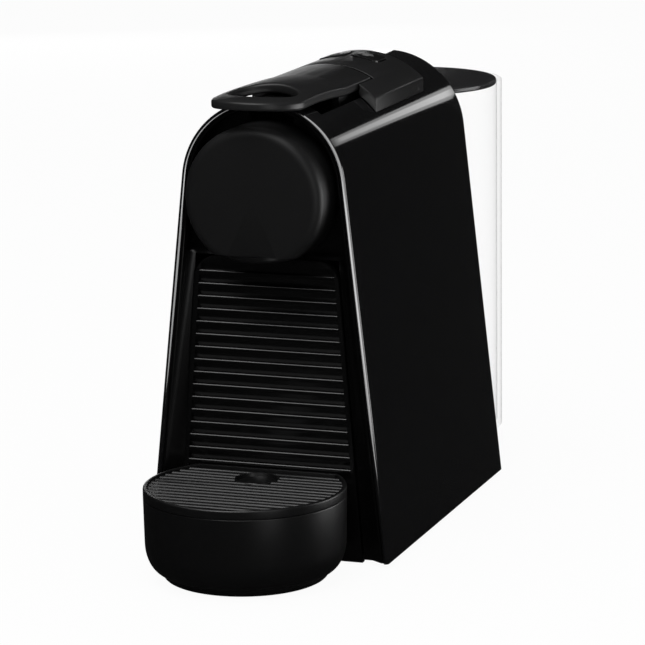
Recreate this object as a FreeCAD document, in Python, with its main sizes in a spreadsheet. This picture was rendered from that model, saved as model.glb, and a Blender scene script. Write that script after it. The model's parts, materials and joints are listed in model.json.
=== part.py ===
"""Pod coffee machine: an arched shell with a brew head in front, a lever and two buttons on top,
a clear water tank behind and a round drip tray that pulls out with the used capsule bin.

Frame: millimetres, +X to the right, +Y to the back, +Z up, origin under the middle of the machine.
"""
import FreeCAD, Part
import math
import os
import re
import Sketcher

SIZES = {
    # casing
    "base_width": 110, "arch_radius": 37, "arch_top": 200.5, "shell_depth": 172, "shell_wall": 2.5,
    "floor_gap": 2, "edge_round": 1.6, "fit_gap": 0.2, "move_gap": 0.5, "over_cut": 1,
    "hatch_half": 22, "hatch_setback": 14, "hatch_margin": 6,
    "base_thick": 3, "rear_thick": 3, "rear_setback": 3, "vent_width": 34, "vent_height": 3,
    "vent_pitch": 9, "foot_radius": 6, "foot_front": 22, "foot_front_half": 40, "foot_rear_half": 22,
    "screw_radius": 1.5, "screw_head": 3, "screw_length": 9,
    # fascia and brew head
    "fascia_setback": 0.8, "fascia_depth": 12, "rim_start": 3.4, "rim_end": 8.5, "rim_depth": 4.2,
    "recess_depth": 10, "recess_inset": 4, "recess_sill": 2,
    "head_radius": 31, "head_axis": 160, "head_reach": 14, "head_wall": 2.5, "head_round": 4,
    "head_flat": 24.3, "head_bore": 24,
    "spout_radius": 16, "spout_drop": 2.7, "spout_neck": 9, "spout_bore": 3, "spout_inset": 15,
    # ribbed front and capsule bin
    "panel_top": 132, "panel_top_half": 32, "panel_bottom_half": 42.2, "panel_corner": 9,
    "panel_setback": 3, "panel_thick": 3, "panel_border": 1.9, "rib_pitch": 5.6, "rib_depth": 2,
    "rib_lip": 0.8, "rib_first": 6.3, "rib_count": 16,
    "bin_half": 28, "bin_depth": 66, "bin_top": 116, "bin_wall": 1.8,
    # drip tray
    "tray_reach": 70, "tray_radius": 43.3, "tray_height": 36, "tray_wall": 2.2, "tray_foot": 35.5,
    "tray_round": 12, "tray_step": 2.6, "tray_lift": 0.4, "tongue_half": 26, "tongue_thick": 3,
    "grid_height": 3.7, "grid_rim": 2, "grid_drop": 0.7, "slat_pitch": 4.5, "slat_width": 2.4,
    "slat_height": 2.2, "slat_count": 16, "dip_radius": 8.7, "dip_offset": 14.5, "dip_depth": 2.4,
    # lever
    "crest": 4.5, "lever_half": 20.5, "lever_thick": 4, "lever_nose": 21.8, "lever_rear": 85,
    "lever_round": 1.2, "hole_half": 14.5, "hole_reach": 13, "hole_setback": 24.8,
    "bend_setback": 50, "neck_setback": 4.5, "neck_radius": 65, "neck_drop": 0.2, "nose_radius": 100,
    "nose_drop": 2.8, "nose_thick": 3.5,
    "pivot_setback": 77, "pivot_drop": 10, "pin_radius": 1.5, "pin_half": 26, "hub_radius": 4,
    "cam_inner": 14, "cam_thick": 3, "cam_rim": 2.5, "cam_start": 26, "cam_drop": 15, "cam_lead": 20,
    "swing_degrees": 75, "follower_radius": 2, "running_gap": 0.08,
    # console and buttons
    "console_half": 29, "console_front": 66, "console_length": 68.5, "console_skin": 1.8,
    "button_long": 15, "button_wide": 12, "button_spread": 8, "button_setback": 119, "button_rise": 0.4,
    "button_round": 3, "button_deep": 5, "board_thick": 1.6, "switch_size": 6, "switch_height": 3,
    "post_radius": 1.2,
    # brewing unit
    "side_inner": 22.5, "side_thick": 3.5, "side_low": 21.5, "side_high": 24, "deck_thick": 3,
    "plate_radius": 20, "plate_thick": 3.8, "stud_size": 2.2, "stud_pitch": 4.4, "stud_height": 0.8,
    "stud_reach": 3,
    "cage_radius": 20.5, "cage_length": 30, "cup_radius": 15.2, "cup_taper": 3, "cup_depth": 26,
    "key_height": 5, "key_depth": 2, "yoke_inner": 7, "yoke_thick": 4, "yoke_reach": 14,
    "stem_radius": 4, "stem_lap": 8, "stem_bore": 1.5, "sleeve_wall": 4,
    "crosshead_thick": 8, "chute_half": 21, "chute_wall": 1.6, "chute_drop": 17,
    "blade_radius": 0.8, "blade_length": 4, "seal_thick": 2, "seal_wire": 1.2,
    # water and heat
    "bulkhead_thick": 3, "pump_radius": 9, "pump_height": 92, "coil_side": 36, "coil_height": 44,
    "pump_right": 21, "pump_back": 44, "pump_foot": 22, "mount_radius": 13, "mount_height": 6, "strap_rim": 2,
    "heater_wide": 38, "heater_right": 1, "heater_deep": 40, "heater_high": 52, "heater_base": 66,
    "heater_round": 4, "leg_wide": 4, "leg_deep": 6,
    "flow_radius": 14, "flow_height": 16, "flow_right": -18, "hose_radius": 3, "hose_wall": 1,
    "nipple_length": 4, "hose_bend": 8, "board_half": 28, "board_high": 60, "board_gap": 6,
    "board_standoff": 3,
    "thermostat_radius": 7, "thermostat_height": 7, "gland_radius": 6, "gland_length": 12, "gland_collar": 2,
    # water tank
    "tank_reach": 83, "tank_half": 37, "tank_top": 178.8, "tank_taper": 2, "tank_corner": 25,
    "tank_front_corner": 4, "tank_wall": 2.2, "tank_gap": 1.2, "shelf_thick": 11, "shelf_inset": 8,
    "lid_thick": 3.6, "lid_skirt": 5, "lid_wall": 1.8, "lid_grip_half": 9, "lid_grip_depth": 1.4,
    "valve_radius": 9, "valve_height": 12, "nipple_radius": 4, "nipple_back": 24,
    "socket_radius": 13,
}

doc = FreeCAD.newDocument("pod_coffee_machine")
sheet = doc.addObject("Spreadsheet::Sheet", "Sizes")
for row, (alias, value) in enumerate(SIZES.items(), start=1):
    sheet.set(f"A{row}", alias)
    sheet.set(f"B{row}", str(value))
    sheet.setAlias(f"B{row}", alias)
doc.recompute()

nodes = []

# Shared places, as expressions on the sheet
FRONT = "((tray_reach - shell_depth - tank_reach)/2)"
REAR = "((tray_reach + shell_depth - tank_reach)/2)"
ARCH = "(arch_top - arch_radius)"
RISE = f"({ARCH} - floor_gap)"
FLARE = f"(acos(arch_radius/sqrt((base_width/2)^2 + {RISE}^2)) - atan({RISE}/(base_width/2)))"
BASE_TOP = "(floor_gap + base_thick)"
UNDER_FLOOR = "(floor_gap - shell_wall)"
HEAD_BACK = f"({FRONT} + recess_depth)"
HEAD_FRONT = f"({FRONT} - head_reach)"
HEAD_FLAT = "(head_axis - head_flat)"
SPOUT_Y = f"({HEAD_FRONT} + spout_inset)"
PANEL_Y = f"({FRONT} + panel_setback)"
PANEL_BACK = f"({PANEL_Y} + panel_thick)"
TRAY_Y = f"({FRONT} - tray_reach + tray_radius)"
TRAY_BACK = f"({PANEL_Y} - move_gap)"
PIVOT_Y = f"({FRONT} + pivot_setback)"
PIVOT_Z = "(arch_top + crest - pivot_drop)"
CROWN = "(arch_radius + crest)"
CONSOLE_Y = f"({FRONT} + console_front)"
PLATE_Y = f"({FRONT} + fascia_depth + fit_gap)"
CAGE_Y = f"({PLATE_Y} + plate_thick + fit_gap)"
CAGE_BACK = f"({CAGE_Y} + cage_length)"
FOLLOWER_Y = f"({PIVOT_Y} - cam_start)"
FOLLOWER_Z = f"({PIVOT_Z} - cam_drop)"
TRAVEL = "(cam_lead*swing_degrees*pi/180)"
CROSS_Y = f"({CAGE_BACK} + {TRAVEL} + yoke_reach + 4*move_gap)"
SLEEVE = f"(stem_lap + {TRAVEL} + 2*move_gap + sleeve_wall)"
DECK_Z = "(head_axis - side_low)"
BULKHEAD_Y = f"({PANEL_BACK} + bin_depth + 4*move_gap)"
TANK_Y = f"({REAR} + tank_gap)"
TANK_BACK = f"({REAR} + tank_reach)"
SHELF_TOP = "(floor_gap + shelf_thick)"
TANK_Z = f"({SHELF_TOP} + move_gap)"
VALVE_Y = f"({TANK_Y} + nipple_back)"
PUMP_Y = f"({BULKHEAD_Y} + pump_back)"
HOSE_Z = f"({BASE_TOP} + hose_radius + fit_gap)"


def bound(text):
    """The expression with every size pointing at its cell."""
    return re.sub(r"[a-z]\w+", lambda m: "Sizes." + m[0] if m[0] in SIZES else m[0], str(text))


def size(text):
    """The value of an expression on the sheet."""
    result = sheet.evalExpression(bound(text))
    return float(getattr(result, "Value", result))


def bind(obj, **expressions):
    for name, text in expressions.items():
        obj.setExpression(name.replace("__", "."), bound(text))


def place(obj, x="0", y="0", z="0", turn=None):
    if turn:
        obj.Placement = FreeCAD.Placement(FreeCAD.Vector(), turn)
    bind(obj, Placement__Base__x=x, Placement__Base__y=y, Placement__Base__z=z)
    return obj


def half_width(z, inset="0"):
    """Half the arch's width at a height, measured to a line set in by an inset."""
    return f"((arch_radius - {inset} + ({ARCH} - {z})*sin({FLARE}))/cos({FLARE}))"


TURNS = {
    "x": FreeCAD.Rotation(FreeCAD.Vector(0, 1, 0), 90),
    "y": FreeCAD.Rotation(FreeCAD.Vector(1, 0, 0), -90),
    "z": FreeCAD.Rotation(),
}
UPRIGHT = FreeCAD.Rotation(FreeCAD.Vector(1, 0, 0), 90)


def box(x, y, z, wide, deep, high):
    """A block from its low corner."""
    block = doc.addObject("Part::Box", "Block")
    bind(block, Length=wide, Width=deep, Height=high)
    return place(block, x, y, z)


def slab(half, y, z, deep, high):
    """A block centred across the machine."""
    return box(f"-({half})", y, z, f"2*({half})", deep, high)


def rod(axis, x, y, z, radius, length):
    """A cylinder from its start point along an axis."""
    cylinder = doc.addObject("Part::Cylinder", "Rod")
    bind(cylinder, Radius=radius, Height=length)
    return place(cylinder, x, y, z, TURNS[axis])


def cone(axis, x, y, z, radius, end_radius, length):
    taper = doc.addObject("Part::Cone", "Taper")
    bind(taper, Radius1=radius, Radius2=end_radius, Height=length)
    return place(taper, x, y, z, TURNS[axis])


def fuse(*shapes):
    joined = doc.addObject("Part::MultiFuse", "Joined")
    joined.Shapes = list(shapes)
    joined.Refine = True
    return joined


def cut(base, *tools):
    result = doc.addObject("Part::Cut", "Cut")
    result.Base = base
    result.Tool = tools[0] if len(tools) == 1 else fuse(*tools)
    result.Refine = True
    return result


def common(first, second):
    shared = doc.addObject("Part::MultiCommon", "Shared")
    shared.Shapes = [first, second]
    shared.Refine = True
    return shared


def rounded(base, radius, test):
    """A fillet on the edges whose box passes a test."""
    doc.recompute()
    edges = [i for i, e in enumerate(base.Shape.Edges, start=1) if test(e.BoundBox, e)]
    result = doc.addObject("Part::Fillet", "Rounded")
    result.Base = base
    result.Edges = [(i, size(radius), size(radius)) for i in edges]
    return result


def near(value, text):
    return abs(value - size(text)) < 0.02


def upright(box, edge):
    """A test for edges that stand."""
    return box.ZLength > size("over_cut")


def node(label, obj):
    obj.Label = label
    nodes.append(obj)
    return obj


def new_sketch(y, name):
    """A sketch standing across the machine at a depth: its x is X and its y is Z."""
    sketch = doc.addObject("Sketcher::SketchObject", name)
    return place(sketch, "0", y, "0", UPRIGHT)


def constrain(sketch, kind, *args, expression=None):
    index = sketch.addConstraint(Sketcher.Constraint(kind, *args))
    if expression:
        sketch.setExpression(f"Constraints[{index}]", bound(expression))


def draw_arch(sketch, inset, bottom):
    """The arch outline: a floor line, two flared sides and a round top tangent to both."""
    centre = size(ARCH)
    radius = size(f"arch_radius - {inset}")
    flare = math.radians(size(FLARE))
    low = size(bottom)
    half = size(half_width(bottom, inset))
    touch = FreeCAD.Vector(radius * math.cos(flare), centre + radius * math.sin(flare), 0)
    far = FreeCAD.Vector(-touch.x, touch.y, 0)
    right, left = FreeCAD.Vector(half, low, 0), FreeCAD.Vector(-half, low, 0)
    circle = Part.Circle(FreeCAD.Vector(0, centre, 0), FreeCAD.Vector(0, 0, 1), radius)
    sketch.addGeometry(Part.ArcOfCircle(circle, flare, math.pi - flare))
    sketch.addGeometry(Part.LineSegment(right, touch))
    sketch.addGeometry(Part.LineSegment(left, right))
    sketch.addGeometry(Part.LineSegment(far, left))
    constrain(sketch, "Tangent", 0, 1, 1, 2)
    constrain(sketch, "Tangent", 0, 2, 3, 1)
    constrain(sketch, "Coincident", 1, 1, 2, 2)
    constrain(sketch, "Coincident", 3, 2, 2, 1)
    constrain(sketch, "PointOnObject", 0, 3, -2)
    constrain(sketch, "Symmetric", 2, 1, 2, 2, -2)
    constrain(sketch, "DistanceY", -1, 1, 0, 3, centre, expression=ARCH)
    constrain(sketch, "Radius", 0, radius, expression=f"arch_radius - {inset}")
    constrain(sketch, "DistanceY", -1, 1, 2, 2, low, expression=bottom)
    constrain(sketch, "DistanceX", -1, 1, 2, 2, half, expression=half_width(bottom, inset))
    return sketch


def draw_polygon(sketch, points):
    """A closed outline whose corners are bound to the sheet."""
    corners = [FreeCAD.Vector(size(x), size(y), 0) for x, y in points]
    count = len(corners)
    for i in range(count):
        sketch.addGeometry(Part.LineSegment(corners[i], corners[(i + 1) % count]))
    for i, (x, y) in enumerate(points):
        constrain(sketch, "Coincident", (i - 1) % count, 2, i, 1)
        constrain(sketch, "DistanceX", -1, 1, i, 1, corners[i].x, expression=x)
        constrain(sketch, "DistanceY", -1, 1, i, 1, corners[i].y, expression=y)
    return sketch


def extrude(sketch, direction, length):
    solid = doc.addObject("Part::Extrusion", "Extruded")
    solid.Base = sketch
    solid.DirMode = "Custom"
    solid.Dir = FreeCAD.Vector(*direction)
    solid.Solid = True
    bind(solid, LengthFwd=length)
    return solid


BACKWARD = (0, 1, 0)


def arch(inset, bottom, y, depth):
    """A solid arch running back from a depth."""
    return extrude(draw_arch(new_sketch(y, "ArchOutline"), inset, bottom), BACKWARD, depth)


def panel_prism(y, depth, gap, top, bottom):
    """The ribbed front's tapered outline, grown by a gap."""
    slope = "((panel_bottom_half - panel_top_half)/(panel_top - floor_gap))"
    high = f"(panel_top_half + ({gap}) - {slope}*(({top}) - panel_top))"
    low = f"(panel_top_half + ({gap}) - {slope}*(({bottom}) - panel_top))"
    points = [(f"-{low}", bottom), (low, bottom), (high, top), (f"-{high}", top)]
    return extrude(draw_polygon(new_sketch(y, "PanelOutline"), points), BACKWARD, depth)


def body_sketch(body, role, offset, name):
    plane = next(f for f in body.Origin.OriginFeatures if f.Role == role)
    sketch = body.newObject("Sketcher::SketchObject", name)
    sketch.AttachmentSupport = [(plane, "")]
    sketch.MapMode = "FlatFace"
    bind(sketch, AttachmentOffset__Base__z=offset)
    return sketch


# Casing

def outer_shell():
    """The gloss arch: a padded outline, hollowed from end to end, with a hatch under the lever."""
    body = doc.addObject("PartDesign::Body", "OuterShell")
    outline = draw_arch(body_sketch(body, "XZ_Plane", f"-{FRONT}", "ShellOutline"), "0", "floor_gap")
    pad = body.newObject("PartDesign::Pad", "ShellPad")
    pad.Profile = outline
    pad.Reversed = True
    bind(pad, Length="shell_depth")
    doc.recompute()
    ends = [f"Edge{i}" for i, e in enumerate(pad.Shape.Edges, start=1)
            if e.BoundBox.YLength < 0.01 and e.BoundBox.ZLength > size("arch_radius")/2]
    fillet = body.newObject("PartDesign::Fillet", "ShellEdges")
    fillet.Base = (pad, ends)
    bind(fillet, Radius="edge_round")
    inside = draw_arch(body_sketch(body, "XZ_Plane", f"-{FRONT}", "ShellInside"), "shell_wall",
                       UNDER_FLOOR)
    hollow = body.newObject("PartDesign::Pocket", "ShellHollow")
    hollow.Profile = inside
    bind(hollow, Length="shell_depth")
    hatch = body_sketch(body, "XY_Plane", "arch_top + shell_wall", "HatchOutline")
    ahead, behind = f"({FRONT} + hatch_setback)", f"({CONSOLE_Y} + console_length - hatch_margin)"
    draw_polygon(hatch, [("-hatch_half", ahead), ("hatch_half", ahead), ("hatch_half", behind),
                         ("-hatch_half", behind)])
    opening = body.newObject("PartDesign::Pocket", "Hatch")
    opening.Profile = hatch
    bind(opening, Length="arch_radius")
    doc.recompute()
    return node("outer_shell", body)


def front_fascia():
    """The frame in the shell's mouth, with a sloping rim, the head's recess and the bin's doorway."""
    depth = "(fascia_depth - fascia_setback)"
    frame = arch("(shell_wall + fit_gap)", "floor_gap", f"{FRONT} + fascia_setback", depth)
    rim = doc.addObject("Part::Loft", "Rim")
    rim.Sections = [
        draw_arch(new_sketch(f"{FRONT} + fascia_setback", "RimFront"), "rim_start", UNDER_FLOOR),
        draw_arch(new_sketch(f"{FRONT} + rim_depth", "RimBack"), "rim_end", UNDER_FLOOR),
    ]
    rim.Solid = True
    rim.Ruled = True
    recess = arch("recess_inset", "(panel_top + recess_sill)", FRONT, "recess_depth")
    doorway = panel_prism(FRONT, "2*fascia_depth", "move_gap", "(panel_top + move_gap)", UNDER_FLOOR)
    bore = rod("y", "0", FRONT, "head_axis", "head_bore", "2*fascia_depth")
    spout = rod("z", "0", SPOUT_Y, f"{HEAD_FLAT} - spout_drop - move_gap", "spout_radius + move_gap",
                "2*spout_drop")
    ahead = slab("2*spout_radius", FRONT, "0", "recess_depth", "head_axis")
    return node("front_fascia", cut(frame, rim, recess, doorway, bore, common(spout, ahead)))


def rear_panel():
    plate = arch("(shell_wall + fit_gap)", f"({BASE_TOP} + fit_gap)",
                 f"{REAR} - rear_setback - rear_thick", "rear_thick")
    vents = [slab("vent_width/2", f"{REAR} - 2*rear_setback - rear_thick", f"head_axis - {i}*vent_pitch",
                  "4*rear_thick", "vent_height") for i in range(4)]
    passage = rod("y", "0", f"{REAR} - 2*rear_setback - rear_thick", "4*gland_radius",
                  "gland_radius + fit_gap", "4*rear_thick")
    suction = rod("y", "0", f"{REAR} - 2*rear_setback - rear_thick", HOSE_Z, "hose_radius + fit_gap",
                  "4*rear_thick")
    node("rear_panel", cut(plate, passage, suction, *vents))
    barrel = rod("y", "0", f"{REAR} - rear_setback - rear_thick - gland_length/2", "4*gland_radius",
                 "gland_radius", "gland_length/2 + rear_thick")
    collar = rod("y", "0", f"{REAR} - rear_setback", "4*gland_radius", "gland_radius + gland_collar",
                 "rear_setback")
    hole = rod("y", "0", f"{REAR} - gland_length*2", "4*gland_radius", "gland_radius/2", "4*gland_length")
    return node("cord_gland", cut(fuse(barrel, collar), hole))


def base_plate():
    """The floor of the machine, with the shelf that carries the tank behind it."""
    half = half_width(BASE_TOP, "(shell_wall + 2*fit_gap)")
    start = f"({FRONT} + fascia_depth + fit_gap)"
    floor = slab(half, start, "floor_gap", f"{REAR} - {start}", "base_thick")
    shelf_half = "(tank_half - shelf_inset)"
    shelf = slab(shelf_half, f"{REAR} - base_thick", "floor_gap", "tank_reach - shelf_inset + base_thick",
                 "shelf_thick")
    tail = f"({TANK_BACK} - shelf_inset)"
    shelf = rounded(shelf, "tank_corner - shelf_inset",
                    lambda b, e: upright(b, e) and near(b.YMax, tail))
    socket = rod("z", "0", VALVE_Y, "floor_gap + base_thick/2", "socket_radius", "2*shelf_thick")
    bolts = [rod("z", x, y, "0", "screw_radius + fit_gap", "2*base_thick") for x, y in screw_places()]
    heads = [rod("z", x, y, "0", "screw_head + fit_gap", "floor_gap + base_thick/2")
             for x, y in screw_places()]
    floor = cut(fuse(floor, shelf), *bolts, *heads)
    cup = cut(rod("z", "0", VALVE_Y, "floor_gap", "socket_radius + tank_wall", "shelf_thick"), socket)
    seat = rod("z", "0", VALVE_Y, "floor_gap", "socket_radius", "base_thick/2")
    hole = rod("z", "0", VALVE_Y, "floor_gap", "socket_radius + tank_wall", "2*shelf_thick")
    channel = slab("hose_radius + move_gap", f"{REAR} - 2*base_thick", BASE_TOP,
                   f"{VALVE_Y} - {REAR} + 2*base_thick", "shelf_thick")
    return node("base_plate", cut(fuse(cut(floor, hole), cup, seat), channel))


def foot_places():
    ahead = f"({FRONT} + foot_front)"
    back = f"({TANK_BACK} - shelf_inset - 2*foot_radius)"
    return [("-foot_front_half", ahead), ("foot_front_half", ahead),
            ("-foot_rear_half", back), ("foot_rear_half", back)]


def screw_places():
    ahead, back = f"({FRONT} + foot_front + 4*foot_radius)", f"({REAR} - 2*foot_radius)"
    return [("-foot_front_half", ahead), ("foot_front_half", ahead),
            ("-foot_front_half", back), ("foot_front_half", back)]


def feet_and_screws():
    node("rubber_feet", fuse(*[rod("z", x, y, "0", "foot_radius", "floor_gap") for x, y in foot_places()]))
    screws = []
    for x, y in screw_places():
        head = rod("z", x, y, "floor_gap", "screw_head", "base_thick/2")
        shank = rod("z", x, y, "floor_gap + base_thick/2", "screw_radius", "base_thick/2 + screw_length")
        screws.append(fuse(head, shank))
    node("base_screws", fuse(*screws))
    bosses = []
    for x, y in screw_places():
        boss = rod("z", x, y, BASE_TOP, "screw_head", "screw_length + base_thick")
        bosses.append(cut(boss, rod("z", x, y, BASE_TOP, "screw_radius", "screw_length")))
    node("screw_bosses", fuse(*bosses))


# Brew head

def brew_head():
    """A drum with a rounded front, cut flat underneath, and the spout in its floor."""
    depth = f"({HEAD_BACK} - {HEAD_FRONT} - fit_gap)"
    drum = rod("y", "0", HEAD_FRONT, "head_axis", "head_radius", depth)
    below = slab("2*head_radius", f"{HEAD_FRONT} - head_wall", "head_axis - 2*head_radius",
                 f"2*{depth}", "2*head_radius - head_flat")
    drum = rounded(cut(drum, below), "head_round",
                   lambda b, e: near(b.YMin, HEAD_FRONT) and near(b.YMax, HEAD_FRONT))
    hollow = rod("y", "0", f"{HEAD_FRONT} + head_wall", "head_axis", "head_radius - head_wall", depth)
    floor = slab("2*head_radius", HEAD_FRONT, "head_axis - 2*head_radius", f"2*{depth}",
                 "2*head_radius - head_flat + head_wall")
    hole = rod("z", "0", SPOUT_Y, f"{HEAD_FLAT} - head_wall", "spout_neck + fit_gap", "4*head_wall")
    node("brew_head_cap", cut(drum, cut(hollow, floor), hole))
    boss = rod("z", "0", SPOUT_Y, f"{HEAD_FLAT} - spout_drop", "spout_radius", "spout_drop - fit_gap/2")
    boss = rounded(boss, "spout_drop/2",
                   lambda b, e: near(b.ZMax, f"{HEAD_FLAT} - spout_drop") and e.Closed)
    neck = rod("z", "0", SPOUT_Y, f"{HEAD_FLAT} - spout_drop", "spout_neck", "spout_drop + head_wall")
    bore = rod("z", "0", SPOUT_Y, f"{HEAD_FLAT} - 2*spout_drop", "spout_bore", "4*spout_drop + head_wall")
    lip = cone("z", "0", SPOUT_Y, f"{HEAD_FLAT} - spout_drop", "2*spout_bore", "spout_bore", "spout_drop/2")
    behind = slab("2*spout_radius", f"{HEAD_BACK} - fit_gap", f"{HEAD_FLAT} - 2*spout_drop",
                  "2*spout_radius", "4*spout_drop")
    node("coffee_spout", cut(fuse(boss, neck), bore, lip, behind))
    front = f"({HEAD_FRONT} + 2*head_wall)"
    bowl = rod("y", "0", front, "head_axis", "plate_radius",
               f"{HEAD_BACK} + fascia_depth - recess_depth - {front}")
    inside = rod("y", "0", f"{front} + head_wall", "head_axis", "plate_radius - head_wall", depth)
    pipe_low = f"({HEAD_FLAT} + head_wall + fit_gap)"
    pipe = rod("z", "0", SPOUT_Y, pipe_low, "spout_neck - head_wall",
               f"head_axis - plate_radius/2 - {pipe_low}")
    flow = rod("z", "0", SPOUT_Y, "0", "spout_bore", "head_axis")
    return node("coffee_funnel", cut(fuse(bowl, pipe), inside, flow))


# Lever, console and buttons

def draw_band(sketch, drop, radius, thick):
    """A bent strip's section under the lever's crown: two arcs about one centre and two upright ends."""
    half, centre = "(lever_half + over_cut)", f"(arch_top + crest - ({drop}) - {radius})"
    reach = size(half)
    middle = FreeCAD.Vector(0, size(centre), 0)
    ends = []
    for bow in (radius, f"({radius} - {thick})"):
        turn = math.asin(reach / size(bow))
        circle = Part.Circle(middle, FreeCAD.Vector(0, 0, 1), size(bow))
        arc = Part.ArcOfCircle(circle, math.pi/2 - turn, math.pi/2 + turn)
        ends.append((arc.StartPoint, arc.EndPoint))
        sketch.addGeometry(arc)
    for upper, lower in zip(*ends):
        sketch.addGeometry(Part.LineSegment(upper, lower))
    for line, end in ((2, 1), (3, 2)):
        constrain(sketch, "Coincident", 0, end, line, 1)
        constrain(sketch, "Coincident", 1, end, line, 2)
        constrain(sketch, "Vertical", line)
    constrain(sketch, "PointOnObject", 0, 3, -2)
    constrain(sketch, "Coincident", 0, 3, 1, 3)
    constrain(sketch, "DistanceY", -1, 1, 0, 3, middle.y, expression=centre)
    constrain(sketch, "Radius", 0, size(radius), expression=radius)
    constrain(sketch, "Radius", 1, size(f"{radius} - {thick}"), expression=f"{radius} - {thick}")
    constrain(sketch, "DistanceX", -1, 1, 0, 1, reach, expression=half)
    constrain(sketch, "DistanceX", 0, 2, -1, 1, reach, expression=half)
    return sketch


def lever_handle():
    """A plate bent to the arch's curve, flatter towards its drooping nose, with an oval finger hole."""
    tip, tail, bend = f"({FRONT} - lever_nose)", f"({FRONT} + lever_rear)", f"({FRONT} + bend_setback)"
    nose = f"({tip} + lever_half)"
    plan = fuse(rod("z", "0", nose, "head_axis", "lever_half", "2*arch_radius"),
                slab("lever_half", nose, "head_axis", f"{tail} + over_cut - {nose}", "2*arch_radius"))
    handle = doc.addObject("Part::Loft", "LeverFront")
    handle.Sections = [
        draw_band(new_sketch(bend, "LeverBend"), "0", CROWN, "lever_thick"),
        draw_band(new_sketch(f"{FRONT} + neck_setback", "LeverNeck"), "neck_drop", "neck_radius",
                  "lever_thick"),
        draw_band(new_sketch(f"{tip} - over_cut", "LeverNose"), "nose_drop", "nose_radius", "nose_thick"),
    ]
    handle.Solid = True
    root = extrude(draw_band(new_sketch(bend, "LeverRoot"), "0", CROWN, "lever_thick"), BACKWARD,
                   f"{tail} - {bend}")
    oval = doc.addObject("Part::Ellipse", "FingerHole")
    bind(oval, MajorRadius="hole_half", MinorRadius="hole_reach")
    place(oval, "0", f"{tip} + hole_setback", "head_axis")
    hole = extrude(oval, (0, 0, 1), "2*arch_radius")
    plate = cut(common(plan, fuse(handle, root)), hole)
    plate = rounded(plate, "lever_round", lambda b, e: (upright(b, e) or b.YLength > size("over_cut"))
                    and not near(b.YMin, bend) and not near(b.YMax, bend) or b.YLength > size("lever_half"))
    bore = rod("x", "-pin_half", PIVOT_Y, PIVOT_Z, "pin_radius + running_gap", "2*pin_half")
    return node("lever_handle", cut(plate, bore))


def spiral_plate(half, x, thick):
    """A plate along the cam's spiral, where a turn of the lever moves the follower at a steady rate."""
    steps = 12
    drop, lead, start = size("cam_drop"), size("cam_lead"), size("cam_start")
    swing = math.radians(size("swing_degrees"))
    pivot = FreeCAD.Vector(0, size(PIVOT_Y), size(PIVOT_Z))
    middle = []
    for i in range(steps + 1):
        turn = swing * i / steps
        along = lead * turn - start
        middle.append(FreeCAD.Vector(0, along * math.cos(turn) + drop * math.sin(turn),
                                     along * math.sin(turn) - drop * math.cos(turn)))
    spine = Part.BSplineCurve()
    spine.interpolate(middle)
    low, high = spine.FirstParameter, spine.LastParameter
    across = FreeCAD.Vector(1, 0, 0)

    def side(sign):
        points = []
        for i in range(steps + 1):
            parameter = low + (high - low) * i / steps
            tangent = FreeCAD.Vector(*spine.tangent(parameter)[0])
            points.append(spine.value(parameter) + tangent.cross(across) * (sign * half))
        curve = Part.BSplineCurve()
        curve.interpolate(points)
        return curve, points

    upper, upper_points = side(1)
    lower, lower_points = side(-1)
    ends = []
    for index, parameter, sign in ((0, low, -1), (-1, high, 1)):
        tip = middle[index] + FreeCAD.Vector(*spine.tangent(parameter)[0]) * (sign * half)
        ends.append(Part.Arc(upper_points[index], tip, lower_points[index]).toShape())
    wire = Part.Wire(Part.__sortEdges__([upper.toShape(), lower.toShape(), *ends]))
    solid = Part.Face(wire).extrude(FreeCAD.Vector(thick, 0, 0))
    solid.translate(pivot + FreeCAD.Vector(x, 0, 0))
    return solid


def lever_arm():
    """The lever's inner arm: a hub on the pin, two cam plates and a saddle under the handle."""
    thick, inner = size("cam_thick"), size("cam_inner")
    slot = size("follower_radius + running_gap")
    cams, slots = [], []
    for x in (inner, -inner - thick):
        cams.append(doc.addObject("Part::Feature", "CamPlate"))
        cams[-1].Shape = spiral_plate(slot + size("cam_rim"), x, thick)
        slots.append(doc.addObject("Part::Feature", "CamSlot"))
        slots[-1].Shape = spiral_plate(slot, x - thick, 3 * thick)
    outer = "(cam_inner + cam_thick)"
    hub = rod("x", f"-{outer}", PIVOT_Y, PIVOT_Z, "hub_radius", f"2*{outer}")
    webs = [box(x, f"{PIVOT_Y} - cam_start", FOLLOWER_Z, "cam_thick",
                "cam_start", "2*cam_drop") for x in ("cam_inner", f"-{outer}")]
    saddle = slab(outer, f"{PIVOT_Y} - cam_start", f"{PIVOT_Z} + hub_radius/2", "cam_start", "cam_drop")
    under = rod("y", "0", f"{PIVOT_Y} - 2*cam_start", ARCH, f"{CROWN} - lever_thick - fit_gap",
                "4*cam_start")
    bore = rod("x", "-pin_half", PIVOT_Y, PIVOT_Z, "pin_radius + running_gap", "2*pin_half")
    top = common(fuse(hub, saddle, *webs), under)
    node("lever_arm", cut(fuse(top, *cams), bore, *slots))
    return node("hinge_pin", rod("x", "-pin_half", PIVOT_Y, PIVOT_Z, "pin_radius", "2*pin_half"))


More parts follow.
